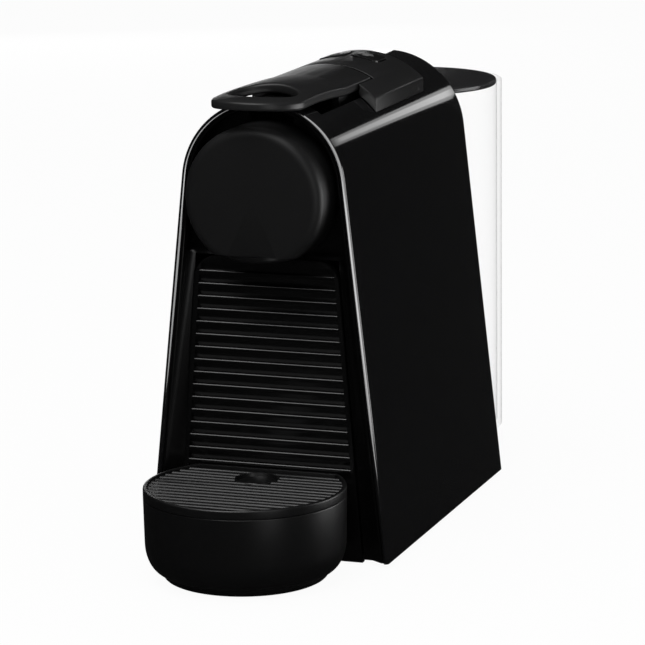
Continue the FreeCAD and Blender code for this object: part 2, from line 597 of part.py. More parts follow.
def top_console():
    """The raised block behind the lever, with the lever's notch and two wells for the buttons."""
    crown = rod("y", "0", CONSOLE_Y, ARCH, CROWN, "console_length")
    saddle = rod("y", "0", f"{CONSOLE_Y} - fit_gap", ARCH, "arch_radius + fit_gap/2", "2*console_length")
    block = common(crown, slab("console_half", CONSOLE_Y, "head_axis", "console_length", "2*arch_radius"))
    notch_half = "(lever_half + move_gap)"
    notch = slab(notch_half, f"{CONSOLE_Y} - over_cut", "head_axis", f"{PIVOT_Y} - {CONSOLE_Y} + over_cut",
                 "2*arch_radius")
    tail = f"({FRONT} + lever_rear - {PIVOT_Y})"
    reach = f"(sqrt({tail}^2 + pivot_drop^2) + move_gap)"
    side_top = f"({ARCH} + sqrt({CROWN}^2 - lever_half^2))"
    edge = f"(sqrt({tail}^2 + ({side_top} - {PIVOT_Z})^2) + 2*move_gap)"
    barrel = doc.addObject("Part::Ellipsoid", "TailSweep")
    bind(barrel, Radius1=reach, Radius2=f"lever_half/sqrt(1 - ({edge}/{reach})^2)", Radius3=reach)
    barrel.Angle1, barrel.Angle2, barrel.Angle3 = -90, 90, 360
    place(barrel, "0", PIVOT_Y, PIVOT_Z)
    sweep = common(barrel, slab(notch_half, f"{PIVOT_Y} - cam_start", "head_axis", "2*cam_start",
                                "2*arch_radius"))
    cam_tail = "(cam_drop + 2*follower_radius + cam_rim + 2*move_gap)"
    cams = common(slab("(cam_inner + cam_thick + move_gap)", f"{PIVOT_Y} - over_cut", "head_axis",
                       f"{cam_tail} + over_cut", "2*arch_radius"),
                  rod("y", "0", PIVOT_Y, ARCH, f"{CROWN} - console_skin", "console_length"))
    pin = rod("x", "-pin_half - fit_gap", PIVOT_Y, PIVOT_Z, "pin_radius + fit_gap/4",
              "2*(pin_half + fit_gap)")
    wells = [well(x, "move_gap", "head_axis", "2*arch_radius") for x in button_places()]
    node("top_console", cut(block, saddle, notch, sweep, cams, pin, *wells))
    crest = rod("y", "0", CONSOLE_Y, ARCH, f"{CROWN} + button_rise", "console_length")
    for label, x in zip(("espresso_button", "lungo_button"), button_places()):
        low = f"({ARCH} + {CROWN} - button_deep)"
        node(label, common(well(x, "0", low, "2*button_deep"), crest))
    board_top = f"({ARCH} + {CROWN} - button_deep - switch_height - 4*move_gap)"
    board = slab("button_spread + switch_size", f"{FRONT} + button_setback - button_long/2",
                 f"{board_top} - board_thick", "button_long", "board_thick")
    switches = [box(f"{x} - switch_size/2", f"{FRONT} + button_setback - switch_size/2", board_top,
                    "switch_size", "switch_size", "switch_height") for x in button_places()]
    node("button_board", fuse(board, *switches))
    inset = "(button_long/2 - 2*post_radius)"
    posts = [rod("z", "0", f"{FRONT} + button_setback + {y}", board_top, "post_radius",
                 f"{ARCH} + arch_radius + fit_gap/4 - {board_top}") for y in (inset, f"-{inset}")]
    return node("button_posts", fuse(*posts))


def button_places():
    return "-button_spread", "button_spread"


def well(x, gap, z, height):
    """A block with rounded corners, the plan of a button grown by a gap."""
    centre = f"({FRONT} + button_setback)"
    block = box(f"{x} - button_wide/2 - {gap}", f"{centre} - button_long/2 - {gap}", z,
                f"button_wide + 2*{gap}", f"button_long + 2*{gap}", height)
    return rounded(block, f"button_round + {gap}",
                   lambda b, e: b.ZLength > size(height) - 0.1)


# Brewing unit

def brewing_unit():
    """Two grooved sides hold the extraction plate in front and the crosshead behind."""
    high, low = "(head_axis + side_high)", DECK_Z
    run = f"({CROSS_Y} + crosshead_thick - {PLATE_Y})"
    for label, x in (("brew_side_right", "side_inner"), ("brew_side_left", "-side_inner - side_thick")):
        side = box(x, PLATE_Y, low, "side_thick", run, f"{high} - {low}")
        groove_x = "side_inner - key_depth" if x == "side_inner" else "-side_inner - key_depth"
        groove = box(groove_x, f"{CAGE_Y} - move_gap", "head_axis - key_height/2 - move_gap", "2*key_depth",
                     f"{run} - plate_thick", "key_height + 2*move_gap")
        node(label, cut(side, groove))
    disc = rod("y", "0", PLATE_Y, "head_axis", "plate_radius", "plate_thick - stud_height")
    lugs = slab("side_inner - fit_gap", PLATE_Y, "head_axis - key_height", "plate_thick - stud_height",
                "2*key_height")
    studs = []
    reach = round(size("stud_reach"))
    for i in range(-reach, reach + 1):
        for k in range(-reach, reach + 1):
            if i * i + k * k <= reach * reach:
                studs.append(box(f"{i}*stud_pitch - stud_size/2", f"{PLATE_Y} + plate_thick - 2*stud_height",
                                 f"head_axis + {k}*stud_pitch - stud_size/2", "stud_size", "2*stud_height",
                                 "stud_size"))
    node("extraction_plate", fuse(disc, lugs, *studs))
    beam = slab("side_inner - fit_gap", CROSS_Y, low, "crosshead_thick",
                f"head_axis + 2*key_height - {low}")
    seat = rod("y", "0", f"{CROSS_Y} - crosshead_thick", "head_axis", "stem_radius + sleeve_wall + fit_gap/2",
               "4*crosshead_thick")
    node("crosshead", cut(beam, seat))
    sleeve = rod("y", "0", CROSS_Y, "head_axis", "stem_radius + sleeve_wall", SLEEVE)
    tip = rod("y", "0", f"{CROSS_Y} + {SLEEVE}", "head_axis", "hose_radius - hose_wall", "2*hose_radius")
    bore = rod("y", "0", f"{CROSS_Y} - over_cut", "head_axis", "stem_radius + running_gap",
               f"{SLEEVE} - sleeve_wall + over_cut")
    return node("inlet_sleeve", cut(fuse(sleeve, tip), bore))


def capsule_cage():
    """The cup that closes on the capsule, its guide keys, the yoke for the follower and the inlet stem."""
    drum = rod("y", "0", CAGE_Y, "head_axis", "cage_radius", "cage_length")
    keys = slab("side_inner + key_depth - move_gap", f"{CAGE_Y} + move_gap", "head_axis - key_height/2",
                "cage_length - move_gap", "key_height")
    cup = cone("y", "0", f"{CAGE_Y} - fit_gap", "head_axis", "cup_radius", "cup_radius - cup_taper",
               "cup_depth")
    lip = rod("y", "0", f"{CAGE_Y} - fit_gap", "head_axis", "cup_radius + seal_thick", "seal_thick + fit_gap")
    arms = [box(x, f"{CAGE_BACK} - seal_thick", "head_axis + yoke_inner - seal_thick", "yoke_thick",
                "yoke_reach + seal_thick", f"{FOLLOWER_Z} + yoke_thick - head_axis - yoke_inner + seal_thick")
            for x in ("yoke_inner", "-yoke_inner - yoke_thick")]
    axle = rod("x", "-cam_inner", FOLLOWER_Y, FOLLOWER_Z, "follower_radius", "2*cam_inner")
    inlet = rod("y", "0", f"{CAGE_Y} + cup_depth - seal_thick", "head_axis", "stem_radius", "cage_length")
    shell = fuse(cut(fuse(drum, keys), cup, lip, inlet), *arms)
    node("capsule_cage", cut(shell, axle))
    pin_end = "(cam_inner + cam_thick + 2*move_gap)"
    node("follower_pin", rod("x", f"-{pin_end}", FOLLOWER_Y, FOLLOWER_Z, "follower_radius", f"2*{pin_end}"))
    stem_start = f"({CAGE_Y} + cup_depth - fit_gap)"
    stem_length = f"({CROSS_Y} + stem_lap - {stem_start})"
    stem = rod("y", "0", stem_start, "head_axis", "stem_radius", stem_length)
    node("inlet_stem", cut(stem, rod("y", "0", stem_start, "head_axis", "stem_bore", stem_length)))
    ring = doc.addObject("Part::Torus", "CageSeal")
    bind(ring, Radius1="cup_radius + seal_thick/2 - fit_gap/2", Radius2="seal_thick/2 - fit_gap")
    place(ring, "0", f"{CAGE_Y} + seal_thick/2", "head_axis", TURNS["y"])
    node("cage_seal", ring)
    blades = []
    for angle in (90, 210, 330):
        blades.append(cone("y", f"(cup_radius - cup_taper)/2*cos({angle} deg)",
                           f"{CAGE_Y} + cup_depth - blade_length - fit_gap",
                           f"head_axis + (cup_radius - cup_taper)/2*sin({angle} deg)",
                           "blade_radius/4", "blade_radius", "blade_length"))
    node("piercing_blades", fuse(*blades))


def chassis():
    """The bulkhead behind the bin and the deck over it, which carry the brewing unit."""
    wall = slab("bin_half + 2*bulkhead_thick", BULKHEAD_Y, f"{BASE_TOP} + fit_gap", "bulkhead_thick",
                f"{DECK_Z} - {BASE_TOP} - 2*fit_gap")
    deck = slab("side_inner + side_thick", PLATE_Y, f"{DECK_Z} - deck_thick - fit_gap",
                f"{CROSS_Y} + crosshead_thick - {PLATE_Y}", "deck_thick")
    drop = slab("chute_half - chute_wall", CAGE_Y, f"{DECK_Z} - chute_drop", f"{CAGE_BACK} - {CAGE_Y}",
                "2*chute_drop")
    sheath = slab("chute_half", f"{CAGE_Y} - chute_wall", f"{DECK_Z} - chute_drop",
                  f"{CAGE_BACK} - {CAGE_Y} + 2*chute_wall", "chute_drop - deck_thick - 2*fit_gap")
    node("capsule_chute", cut(sheath, drop))
    plate = rod("y", "0", f"{PLATE_Y} - over_cut", "head_axis", "plate_radius + move_gap",
                "plate_thick + 2*over_cut")
    return node("chassis", cut(fuse(wall, deck), drop, plate))


# Water and heat

def hose(label, points):
    """A tube along straight runs joined by tangent bends."""
    corners = [FreeCAD.Vector(*(size(c) for c in p)) for p in points]
    bend = size("hose_bend")
    edges = []
    start = corners[0]
    for before, corner, after in zip(corners, corners[1:], corners[2:]):
        back, ahead = (before - corner).normalize(), (after - corner).normalize()
        half = back.getAngle(ahead) / 2
        leave, join = corner + back * (bend / math.tan(half)), corner + ahead * (bend / math.tan(half))
        centre = corner + (back + ahead).normalize() * (bend / math.sin(half))
        middle = centre + (corner - centre).normalize() * bend
        edges.append(Part.LineSegment(start, leave).toShape())
        edges.append(Part.Arc(leave, middle, join).toShape())
        start = join
    edges.append(Part.LineSegment(start, corners[-1]).toShape())
    path = Part.Wire(edges)
    section = Part.Wire(Part.makeCircle(size("hose_radius"), corners[0], corners[1] - corners[0]))
    tube = doc.addObject("Part::Feature", "Hose")
    tube.Shape = path.makePipeShell([section], True, False)
    return node(label, tube)


def water_path():
    """Socket under the tank, flow meter, pump on rubber mounts, heater block and the hoses between."""
    collar = rod("z", "0", VALVE_Y, "floor_gap + base_thick/2", "nipple_radius + tank_wall", "base_thick/2")
    nipple = rod("z", "0", VALVE_Y, "floor_gap + base_thick/2", "nipple_radius", "shelf_thick")
    way = rod("z", "0", VALVE_Y, "0", "nipple_radius/2", "tank_top")
    node("tank_connector", cut(fuse(collar, nipple), way))
    ring = doc.addObject("Part::Torus", "ConnectorSeal")
    bind(ring, Radius1="nipple_radius + seal_wire/2 + fit_gap/4", Radius2="seal_wire/2")
    place(ring, "0", VALVE_Y, "floor_gap + base_thick + seal_wire/2 + fit_gap/4")
    node("connector_seal", ring)
    foot = f"({BASE_TOP} + pump_foot)"
    tube = rod("z", "pump_right", PUMP_Y, foot, "pump_radius", "pump_height")
    ends = [rod("z", "pump_right", PUMP_Y, z, "hose_radius - hose_wall", "nipple_length")
            for z in (f"{foot} - nipple_length", f"{foot} + pump_height")]
    node("pump_body", fuse(tube, *ends))
    coil_z = f"({foot} + pump_height/2 - coil_height/2)"
    coil = box("pump_right - coil_side/2", f"{PUMP_Y} - coil_side/2", coil_z, "coil_side", "coil_side",
               "coil_height")
    coil = rounded(coil, "heater_round", upright)
    node("pump_coil", cut(coil, rod("z", "pump_right", PUMP_Y, "0", "pump_radius + fit_gap/2", "head_axis")))
    mounts, stands = [], []
    for z in (f"({coil_z} - mount_height - fit_gap)", f"({coil_z} + coil_height + fit_gap)"):
        ring = rod("z", "pump_right", PUMP_Y, z, "mount_radius", "mount_height")
        mounts.append(cut(ring, rod("z", "pump_right", PUMP_Y, "0", "pump_radius + fit_gap/2", "head_axis")))
        strap = box("pump_right - mount_radius - strap_rim", f"{BULKHEAD_Y} + bulkhead_thick + fit_gap", z,
                    "2*(mount_radius + strap_rim)", f"{PUMP_Y} - {BULKHEAD_Y} - bulkhead_thick",
                    "mount_height")
        seat = rod("z", "pump_right", PUMP_Y, "0", "mount_radius + fit_gap/2", "head_axis")
        stands.append(cut(strap, seat))
    node("pump_mounts", fuse(*mounts))
    node("pump_brackets", fuse(*stands))
    meter = rod("z", "flow_right", PUMP_Y, BASE_TOP, "flow_radius", "flow_height")
    node("flow_meter", meter)
    left = "(heater_right - heater_wide)"
    back = f"({BULKHEAD_Y} + bulkhead_thick + board_gap)"
    block = box(left, back, "heater_base", "heater_wide", "heater_deep", "heater_high")
    block = rounded(block, "heater_round", upright)
    node("heater_block", block)
    legs = [box(left, f"{back} + {i}*(heater_deep - leg_deep)", BASE_TOP, "leg_wide", "leg_deep",
                f"heater_base - {BASE_TOP} - fit_gap/2") for i in (0, 1)]
    node("heater_legs", fuse(*legs))
    discs = [rod("z", f"{left} + heater_wide/2", y, "heater_base + heater_high", "thermostat_radius",
                 "thermostat_height")
             for y in (f"{back} + heater_deep/5", f"{back} + heater_deep*4/5")]
    node("thermostats", fuse(*discs))
    hoses(foot, left, back)


def control_board():
    """The board on four standoffs, in front of the rear panel."""
    panel = f"({REAR} - rear_setback - rear_thick)"
    node("control_board", slab("board_half", f"{panel} - board_standoff - board_thick", "heater_base",
                               "board_thick", "board_high"))
    corner = "(board_half - 4*post_radius)"
    posts = [rod("y", x, f"{panel} - board_standoff", z, "2*post_radius", "board_standoff")
             for x in (corner, f"-{corner}")
             for z in ("heater_base + 4*post_radius", "heater_base + board_high - 4*post_radius")]
    return node("board_standoffs", fuse(*posts))


def hoses(foot, left, back):
    """The runs from connector to meter, pump, heater and sleeve."""
    turn_y = f"({REAR} - rear_setback - rear_thick - 2*hose_bend)"
    hose("suction_hose", [("0", f"{VALVE_Y} - nipple_radius - tank_wall", HOSE_Z), ("0", turn_y, HOSE_Z),
                          ("flow_right", turn_y, HOSE_Z), ("flow_right", f"{PUMP_Y} + flow_radius", HOSE_Z)])
    hose("pump_hose", [("flow_right + flow_radius", PUMP_Y, HOSE_Z), ("pump_right", PUMP_Y, HOSE_Z),
                       ("pump_right", PUMP_Y, f"{foot} - nipple_length")])
    over = f"({foot} + pump_height + nipple_length + 1.5*hose_bend)"
    inlet_x, inlet_y = f"{left} + heater_wide*4/5", PUMP_Y
    hose("pressure_hose", [("pump_right", PUMP_Y, f"{foot} + pump_height + nipple_length"),
                           ("pump_right", PUMP_Y, over), (inlet_x, inlet_y, over),
                           (inlet_x, inlet_y, "heater_base + heater_high")])
    outlet_x, outlet_y = f"{left} + heater_wide/2", f"{back} + heater_deep/2"
    rise = "(heater_base + heater_high + 2*hose_bend)"
    bend_y = f"({CROSS_Y} + {SLEEVE} + 2*hose_radius + 1.5*hose_bend)"
    hose("hot_hose", [(outlet_x, outlet_y, "heater_base + heater_high"), (outlet_x, outlet_y, rise),
                      (outlet_x, bend_y, rise), ("0", bend_y, "head_axis"),
                      ("0", f"{CROSS_Y} + {SLEEVE} + 2*hose_radius", "head_axis")])


# Water tank

def tank_block(gap, bottom, top):
    """The tank's tapered plan between two heights, set in by a gap, with large rear corners."""
    slope = f"(tank_taper/(tank_top - {TANK_Z}))"
    wedge = doc.addObject("Part::Wedge", "TankBlock")
    lean_low, lean_high = f"{slope}*(tank_top - ({bottom}))", f"{slope}*(tank_top - ({top}))"
    bind(wedge, Ymin="0", Ymax=f"({top}) - ({bottom})",
         Xmin=f"-(tank_half - ({gap}) - {lean_low})", Xmax=f"tank_half - ({gap}) - {lean_low}",
         X2min=f"-(tank_half - ({gap}) - {lean_high})", X2max=f"tank_half - ({gap}) - {lean_high}",
         Zmin=f"-({TANK_BACK} - ({gap}) - {lean_low})", Zmax=f"-({TANK_Y} + ({gap}))",
         Z2min=f"-({TANK_BACK} - ({gap}) - {lean_high})", Z2max=f"-({TANK_Y} + ({gap}))")
    place(wedge, "0", "0", bottom, UPRIGHT)
    middle = f"({TANK_Y} + {TANK_BACK})/2"
    wedge = rounded(wedge, f"tank_corner - ({gap})",
                    lambda b, e: b.ZLength > size(top) - size(bottom) - 0.1 and b.YMin > size(middle))
    return rounded(wedge, f"tank_front_corner - ({gap})/2",
                   lambda b, e: b.ZLength > size(top) - size(bottom) - 0.1 and b.YMax < size(middle))


def water_tank():
    """A clear tapered vessel with a valve in its floor and a lid that drops into its mouth."""
    vessel = tank_block("0", TANK_Z, "tank_top")
    inside = tank_block("tank_wall", f"{TANK_Z} + tank_wall", "tank_top + tank_wall")
    hole = rod("z", "0", VALVE_Y, "0", "valve_radius + fit_gap/2", "2*socket_radius")
    node("water_tank", cut(vessel, inside, hole))
    base = f"({TANK_Z} + fit_gap)"
    stub = rod("z", "0", VALVE_Y, base, "valve_radius", "valve_height")
    flange = rod("z", "0", VALVE_Y, f"{TANK_Z} + tank_wall + fit_gap", "socket_radius", "tank_wall")
    way = rod("z", "0", VALVE_Y, "0", "nipple_radius + move_gap", f"{base} + valve_height - tank_wall")
    node("tank_valve", cut(fuse(stub, flange), way))
    lid = tank_block("0", "tank_top + fit_gap", "tank_top + fit_gap + lid_thick")
    lid = rounded(lid, "edge_round", lambda b, e: near(b.ZMin, "tank_top + fit_gap + lid_thick"))
    skirt = tank_block("tank_wall + move_gap", "tank_top - lid_skirt", "tank_top + 2*fit_gap")
    hollow = tank_block("tank_wall + move_gap + lid_wall", "tank_top - 2*lid_skirt", "tank_top + fit_gap")
    grip = slab("lid_grip_half", f"{TANK_BACK} - tank_corner",
                "tank_top + fit_gap + lid_thick - lid_grip_depth", "tank_corner/2", "2*lid_thick")
    grip = rounded(grip, "button_round", upright)
    return node("tank_lid", cut(fuse(lid, cut(skirt, hollow)), grip))


# Drip tray unit

def behind_front(z, height):
    """Everything behind the tray's flat back."""
    return slab("2*tray_radius", TRAY_BACK, z, "4*tray_radius", height)


def drip_tray():
    """A drum on a foot, cut flat at the back, and the carrier under the bin, keyed into its wall."""
    floor = "(tray_lift + tray_step)"
    drum = rod("z", "0", TRAY_Y, floor, "tray_radius", f"tray_height - {floor}")
    drum = rounded(drum, "tray_round", lambda b, e: near(b.ZMax, floor) and e.Closed)
    foot = rod("z", "0", TRAY_Y, "tray_lift", "tray_foot", "2*tray_step")
    foot = rounded(foot, "tray_step - fit_gap", lambda b, e: near(b.ZMax, "tray_lift") and e.Closed)
    drum = cut(fuse(drum, foot), behind_front("0", "2*tray_height"))
    hollow = rod("z", "0", TRAY_Y, f"{floor} + tray_wall", "tray_radius - tray_wall", "tray_height")
    hollow = rounded(hollow, "tray_round - tray_wall",
                     lambda b, e: near(b.ZMax, f"{floor} + tray_wall") and e.Closed)
    wall = slab("2*tray_radius", f"{TRAY_BACK} - tray_wall", "0", "4*tray_radius", "2*tray_height")
    key = f"({TRAY_BACK} - tray_wall/2)"
    slot = slab("tongue_half + fit_gap/2", key, f"{BASE_TOP} + move_gap - fit_gap/2", "tray_wall",
                "tongue_thick + fit_gap")
    node("drip_tray", cut(drum, cut(hollow, wall), slot))
    return node("bin_carrier", slab("tongue_half", f"{key} + fit_gap/2", f"{BASE_TOP} + move_gap",
                                    f"{PANEL_BACK} + bin_depth - {TRAY_BACK}", "tongue_thick"))


def drip_grid():
    """A rimmed disc of slats with a round dip under the spout."""
    low, top = "(tray_height + fit_gap)", "(tray_height + fit_gap + grid_height)"
    rim = rod("z", "0", TRAY_Y, low, "tray_radius", "grid_height")
    rim = rounded(rim, "grid_rim/2", lambda b, e: near(b.ZMin, top) and e.Closed)
    rim = cut(rim, rod("z", "0", TRAY_Y, "0", "tray_radius - grid_rim", "2*tray_height"))
    body = doc.addObject("PartDesign::Body", "Slats")
    slat_top = f"({top} - grid_drop)"
    first = f"({TRAY_BACK} - grid_rim - slat_pitch)"
    slat_low, second = f"({slat_top} - slat_height)", f"({first} + slat_width)"
    outline = draw_polygon(body_sketch(body, "YZ_Plane", "-tray_radius", "SlatOutline"),
                           [(first, slat_low), (second, slat_low), (second, slat_top), (first, slat_top)])
    pad = body.newObject("PartDesign::Pad", "Slat")
    pad.Profile = outline
    bind(pad, Length="2*tray_radius")
    row = body.newObject("PartDesign::LinearPattern", "SlatRow")
    row.Originals = [pad]
    row.Direction = (next(f for f in body.Origin.OriginFeatures if f.Role == "Y_Axis"), [""])
    row.Reversed = True
    bind(row, Length="slat_pitch*(slat_count - 1)", Occurrences="slat_count")
    body.Tip = row
    ties = [box(x, f"{TRAY_Y} - tray_radius", slat_low, "slat_width", "2*tray_radius", "slat_height/2")
            for x in ("tray_foot/2", "-tray_foot/2 - slat_width")]
    field = common(fuse(body, *ties), rod("z", "0", TRAY_Y, "0", "tray_radius - grid_rim/2", "2*tray_height"))
    dip_y = f"({TRAY_Y} + dip_offset)"
    dip = cut(rod("z", "0", dip_y, f"{slat_top} - dip_depth", "dip_radius + grid_rim/2", "dip_depth"),
              rod("z", "0", dip_y, f"{slat_top} - dip_depth/2", "dip_radius", "dip_depth"))
    back = slab("tray_radius", f"{TRAY_BACK} - grid_rim", low, "grid_rim", "grid_height")
    back = common(back, rod("z", "0", TRAY_Y, "0", "tray_radius - grid_rim/2", "2*tray_height"))
    field = cut(field, rod("z", "0", dip_y, "0", "dip_radius", "2*tray_height"))
    return node("drip_grid", cut(fuse(rim, field, back, dip), behind_front("0", "2*tray_height")))


def ribbed_front():
    """The louvred front of the bin: a tapered plate with a field of ledges, each sloping back below."""
    low = "tray_lift + move_gap"
    plate = panel_prism(PANEL_Y, "panel_thick", "0", "panel_top", low)
    plate = rounded(plate, "panel_corner", lambda b, e: b.ZLength < 0.01 and b.XLength < 0.01
                    and near(b.ZMin, "panel_top"))
    first = "(panel_top - rib_first)"
    last = f"({first} - rib_count*rib_pitch)"
    valley = f"({PANEL_Y} + rib_depth)"
    field = panel_prism(f"{PANEL_Y} - panel_thick", "panel_thick + rib_depth", "-panel_border",
                        f"{first} + rib_pitch/2", last)
    body = doc.addObject("PartDesign::Body", "Ribs")
    root, foot = f"{valley} + rib_lip/2", f"{first} - rib_pitch + rib_lip"
    outline = draw_polygon(body_sketch(body, "YZ_Plane", "-base_width/2", "RibOutline"),
                           [(root, first), (PANEL_Y, first), (PANEL_Y, f"{first} - rib_lip"),
                            (valley, foot), (root, foot)])
    pad = body.newObject("PartDesign::Pad", "Rib")
    pad.Profile = outline
    bind(pad, Length="base_width")
    row = body.newObject("PartDesign::LinearPattern", "RibRow")
    row.Originals = [pad]
    row.Direction = (next(f for f in body.Origin.OriginFeatures if f.Role == "Z_Axis"), [""])
    row.Reversed = True
    bind(row, Length="rib_pitch*(rib_count - 1)", Occurrences="rib_count")
    body.Tip = row
    trim = panel_prism(f"{PANEL_Y} - panel_thick", "3*panel_thick", "-panel_border/2",
                       f"{first} + rib_pitch", last)
    notch = slab("tongue_half + move_gap", f"{PANEL_Y} - over_cut", "0", "2*panel_thick",
                 f"{BASE_TOP} + tongue_thick + 2*move_gap")
    return node("ribbed_front", cut(fuse(cut(plate, field), common(body, trim)), notch))


def capsule_bin():
    start = f"({PANEL_BACK} + fit_gap/2)"
    low = f"({BASE_TOP} + move_gap + tongue_thick + fit_gap/2)"
    outside = slab("bin_half", start, low, "bin_depth - fit_gap", f"bin_top - {low}")
    outside = rounded(outside, "tank_front_corner", upright)
    inside = slab("bin_half - bin_wall", f"{start} + bin_wall", f"{low} + bin_wall",
                  "bin_depth - fit_gap - 2*bin_wall", "bin_top")
    inside = rounded(inside, "tank_front_corner - bin_wall", upright)
    return node("capsule_bin", cut(outside, inside))


def check_and_write():
    doc.recompute()
    failed = [o.Name for o in doc.Objects if {"Invalid", "Error"} & set(o.State)]
    if failed:
        raise RuntimeError(f"failed features: {failed}")
    for piece in nodes:
        if piece.Shape.isNull() or not piece.Shape.isValid() or not piece.Shape.Solids:
            raise RuntimeError(f"bad shape: {piece.Label}")
    os.makedirs("parts", exist_ok=True)
    for piece in nodes:
        piece.Shape.exportStep(f"parts/{piece.Label}.step")
        print(piece.Label, len(piece.Shape.Solids), round(piece.Shape.Volume))


outer_shell()
front_fascia()
rear_panel()
base_plate()
feet_and_screws()
brew_head()
lever_handle()
lever_arm()
top_console()
brewing_unit()
capsule_cage()
chassis()
water_path()
control_board()
water_tank()
drip_tray()
drip_grid()
ribbed_front()
capsule_bin()
check_and_write()
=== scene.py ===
"""Looks of the pod coffee machine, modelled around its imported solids."""
import json
import math

import bmesh
import bpy
from bpy.props import FloatProperty, FloatVectorProperty, IntProperty, PointerProperty
from mathutils import Matrix, Quaternion, Vector

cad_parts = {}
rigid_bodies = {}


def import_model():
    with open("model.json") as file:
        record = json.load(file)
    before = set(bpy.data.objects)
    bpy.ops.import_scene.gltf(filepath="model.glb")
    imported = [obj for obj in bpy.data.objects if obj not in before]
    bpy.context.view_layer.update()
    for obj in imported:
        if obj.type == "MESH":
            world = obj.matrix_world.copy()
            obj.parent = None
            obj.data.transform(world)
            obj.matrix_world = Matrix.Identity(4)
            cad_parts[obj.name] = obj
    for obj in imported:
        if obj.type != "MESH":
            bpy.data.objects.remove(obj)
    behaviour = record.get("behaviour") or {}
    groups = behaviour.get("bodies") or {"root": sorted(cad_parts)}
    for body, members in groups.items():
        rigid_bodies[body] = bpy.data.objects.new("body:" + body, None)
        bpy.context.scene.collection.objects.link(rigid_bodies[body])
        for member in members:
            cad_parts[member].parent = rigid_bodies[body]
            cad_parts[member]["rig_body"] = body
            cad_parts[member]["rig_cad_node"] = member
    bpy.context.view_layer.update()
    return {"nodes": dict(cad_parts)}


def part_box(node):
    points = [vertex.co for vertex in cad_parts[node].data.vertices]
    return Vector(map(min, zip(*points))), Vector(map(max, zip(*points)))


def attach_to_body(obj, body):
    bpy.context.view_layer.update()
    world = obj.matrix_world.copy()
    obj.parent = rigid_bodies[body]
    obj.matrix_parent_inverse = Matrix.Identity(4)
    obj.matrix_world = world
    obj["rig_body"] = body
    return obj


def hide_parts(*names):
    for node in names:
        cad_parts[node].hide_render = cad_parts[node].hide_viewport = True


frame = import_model()

bl_info = {
    "name": "Pod coffee machine",
    "version": (1, 0, 0),
    "blender": (4, 5, 0),
    "location": "3D View > Sidebar > Pod machine",
    "description": "Models the visible pieces of a pod coffee machine around its solids",
    "category": "Object",
}

MM = 0.001
MERGE = 0.000002  # vertices this close become one
SOFT_SHARE = 0.4  # round of a rim or slat, as a share of its width
RIGHT, BACK, UP = (1, 0, 0), (0, 1, 0), (0, 0, 1)
LEFT, FRONT, DOWN = (-1, 0, 0), (0, -1, 0), (0, 0, -1)
SHELL_LOW, SHELL_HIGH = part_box("outer_shell")
HEAD_LOW, HEAD_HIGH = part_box("brew_head_cap")
LEVER_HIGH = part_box("lever_handle")[1]
CONSOLE_LOW, CONSOLE_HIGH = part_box("top_console")
RIBS_LOW, RIBS_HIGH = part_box("ribbed_front")
TRAY_LOW, TRAY_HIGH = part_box("drip_tray")
GRID_LOW, GRID_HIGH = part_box("drip_grid")
TANK_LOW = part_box("water_tank")[0]
LID_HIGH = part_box("tank_lid")[1]
MATERIALS = {}


# Sizes and colours that a user may change

def length(label, about, default, top=0.5):
    """A size in metres."""
    return FloatProperty(name=label, description=about, default=default, min=0.0001, max=top,
                         precision=4, unit="LENGTH", subtype="DISTANCE")


def station(label, about, default):
    """A place from front to back, in metres."""
    return FloatProperty(name=label, description=about, default=default, unit="LENGTH", subtype="DISTANCE")


def turn(label, about, degrees):
    """An angle."""
    return FloatProperty(name=label, description=about, default=math.radians(degrees), subtype="ANGLE")


def number(label, about, default):
    """How many of a piece there are."""
    return IntProperty(name=label, description=about, default=default, min=1, max=40)


def shade(label, about, default):
    """A colour."""
    return FloatVectorProperty(name=label, description=about, default=default, size=3, min=0, max=1,
                               subtype="COLOR")


class PodShellSizes(bpy.types.PropertyGroup):
    """The arched shell"""
    arch_radius: length("Arch radius", "Radius of the round top", 0.037)
    wall: length("Wall", "Thickness of the shell", 0.0025)
    edge_round: length("Edge round", "Round along the outer edges, less than half the wall", 0.0011)
    hatch_half: length("Hatch half width", "Half the opening under the lever", 0.022)
    hatch_front: station("Hatch front", "Where the opening under the lever starts", -0.0785)
    hatch_rear: station("Hatch rear", "Where the opening under the console ends", 0.036)


class PodHeadSizes(bpy.types.PropertyGroup):
    """The round brew head"""
    axis_height: length("Axis height", "Height of the drum's middle", 0.16)
    soft_edge: length("Soft edge", "Round of the front edge", 0.0045)
    wall: length("Wall", "Thickness of the cap", 0.0025)
    spout_hole: length("Spout hole", "Radius of the hole for the spout", 0.0092)


class PodRibSizes(bpy.types.PropertyGroup):
    """The ribbed front"""
    top_half: length("Top half width", "Half the width of the top edge", 0.032)
    pitch: length("Pitch", "Distance between ledges", 0.0056)
    depth: length("Depth", "Depth of the valleys", 0.002)
    lip: length("Lip", "Height of each ledge's edge", 0.0015)
    border: length("Border", "Width of the plain frame", 0.0019)
    border_round: length("Border round", "Round along the plain frame", 0.0004)
    corner: length("Corner", "Round of the top corners", 0.009)
    first: length("First ledge", "Drop from the top edge to the first ledge", 0.0063)
    count: number("Ledges", "Number of ledges", 16)


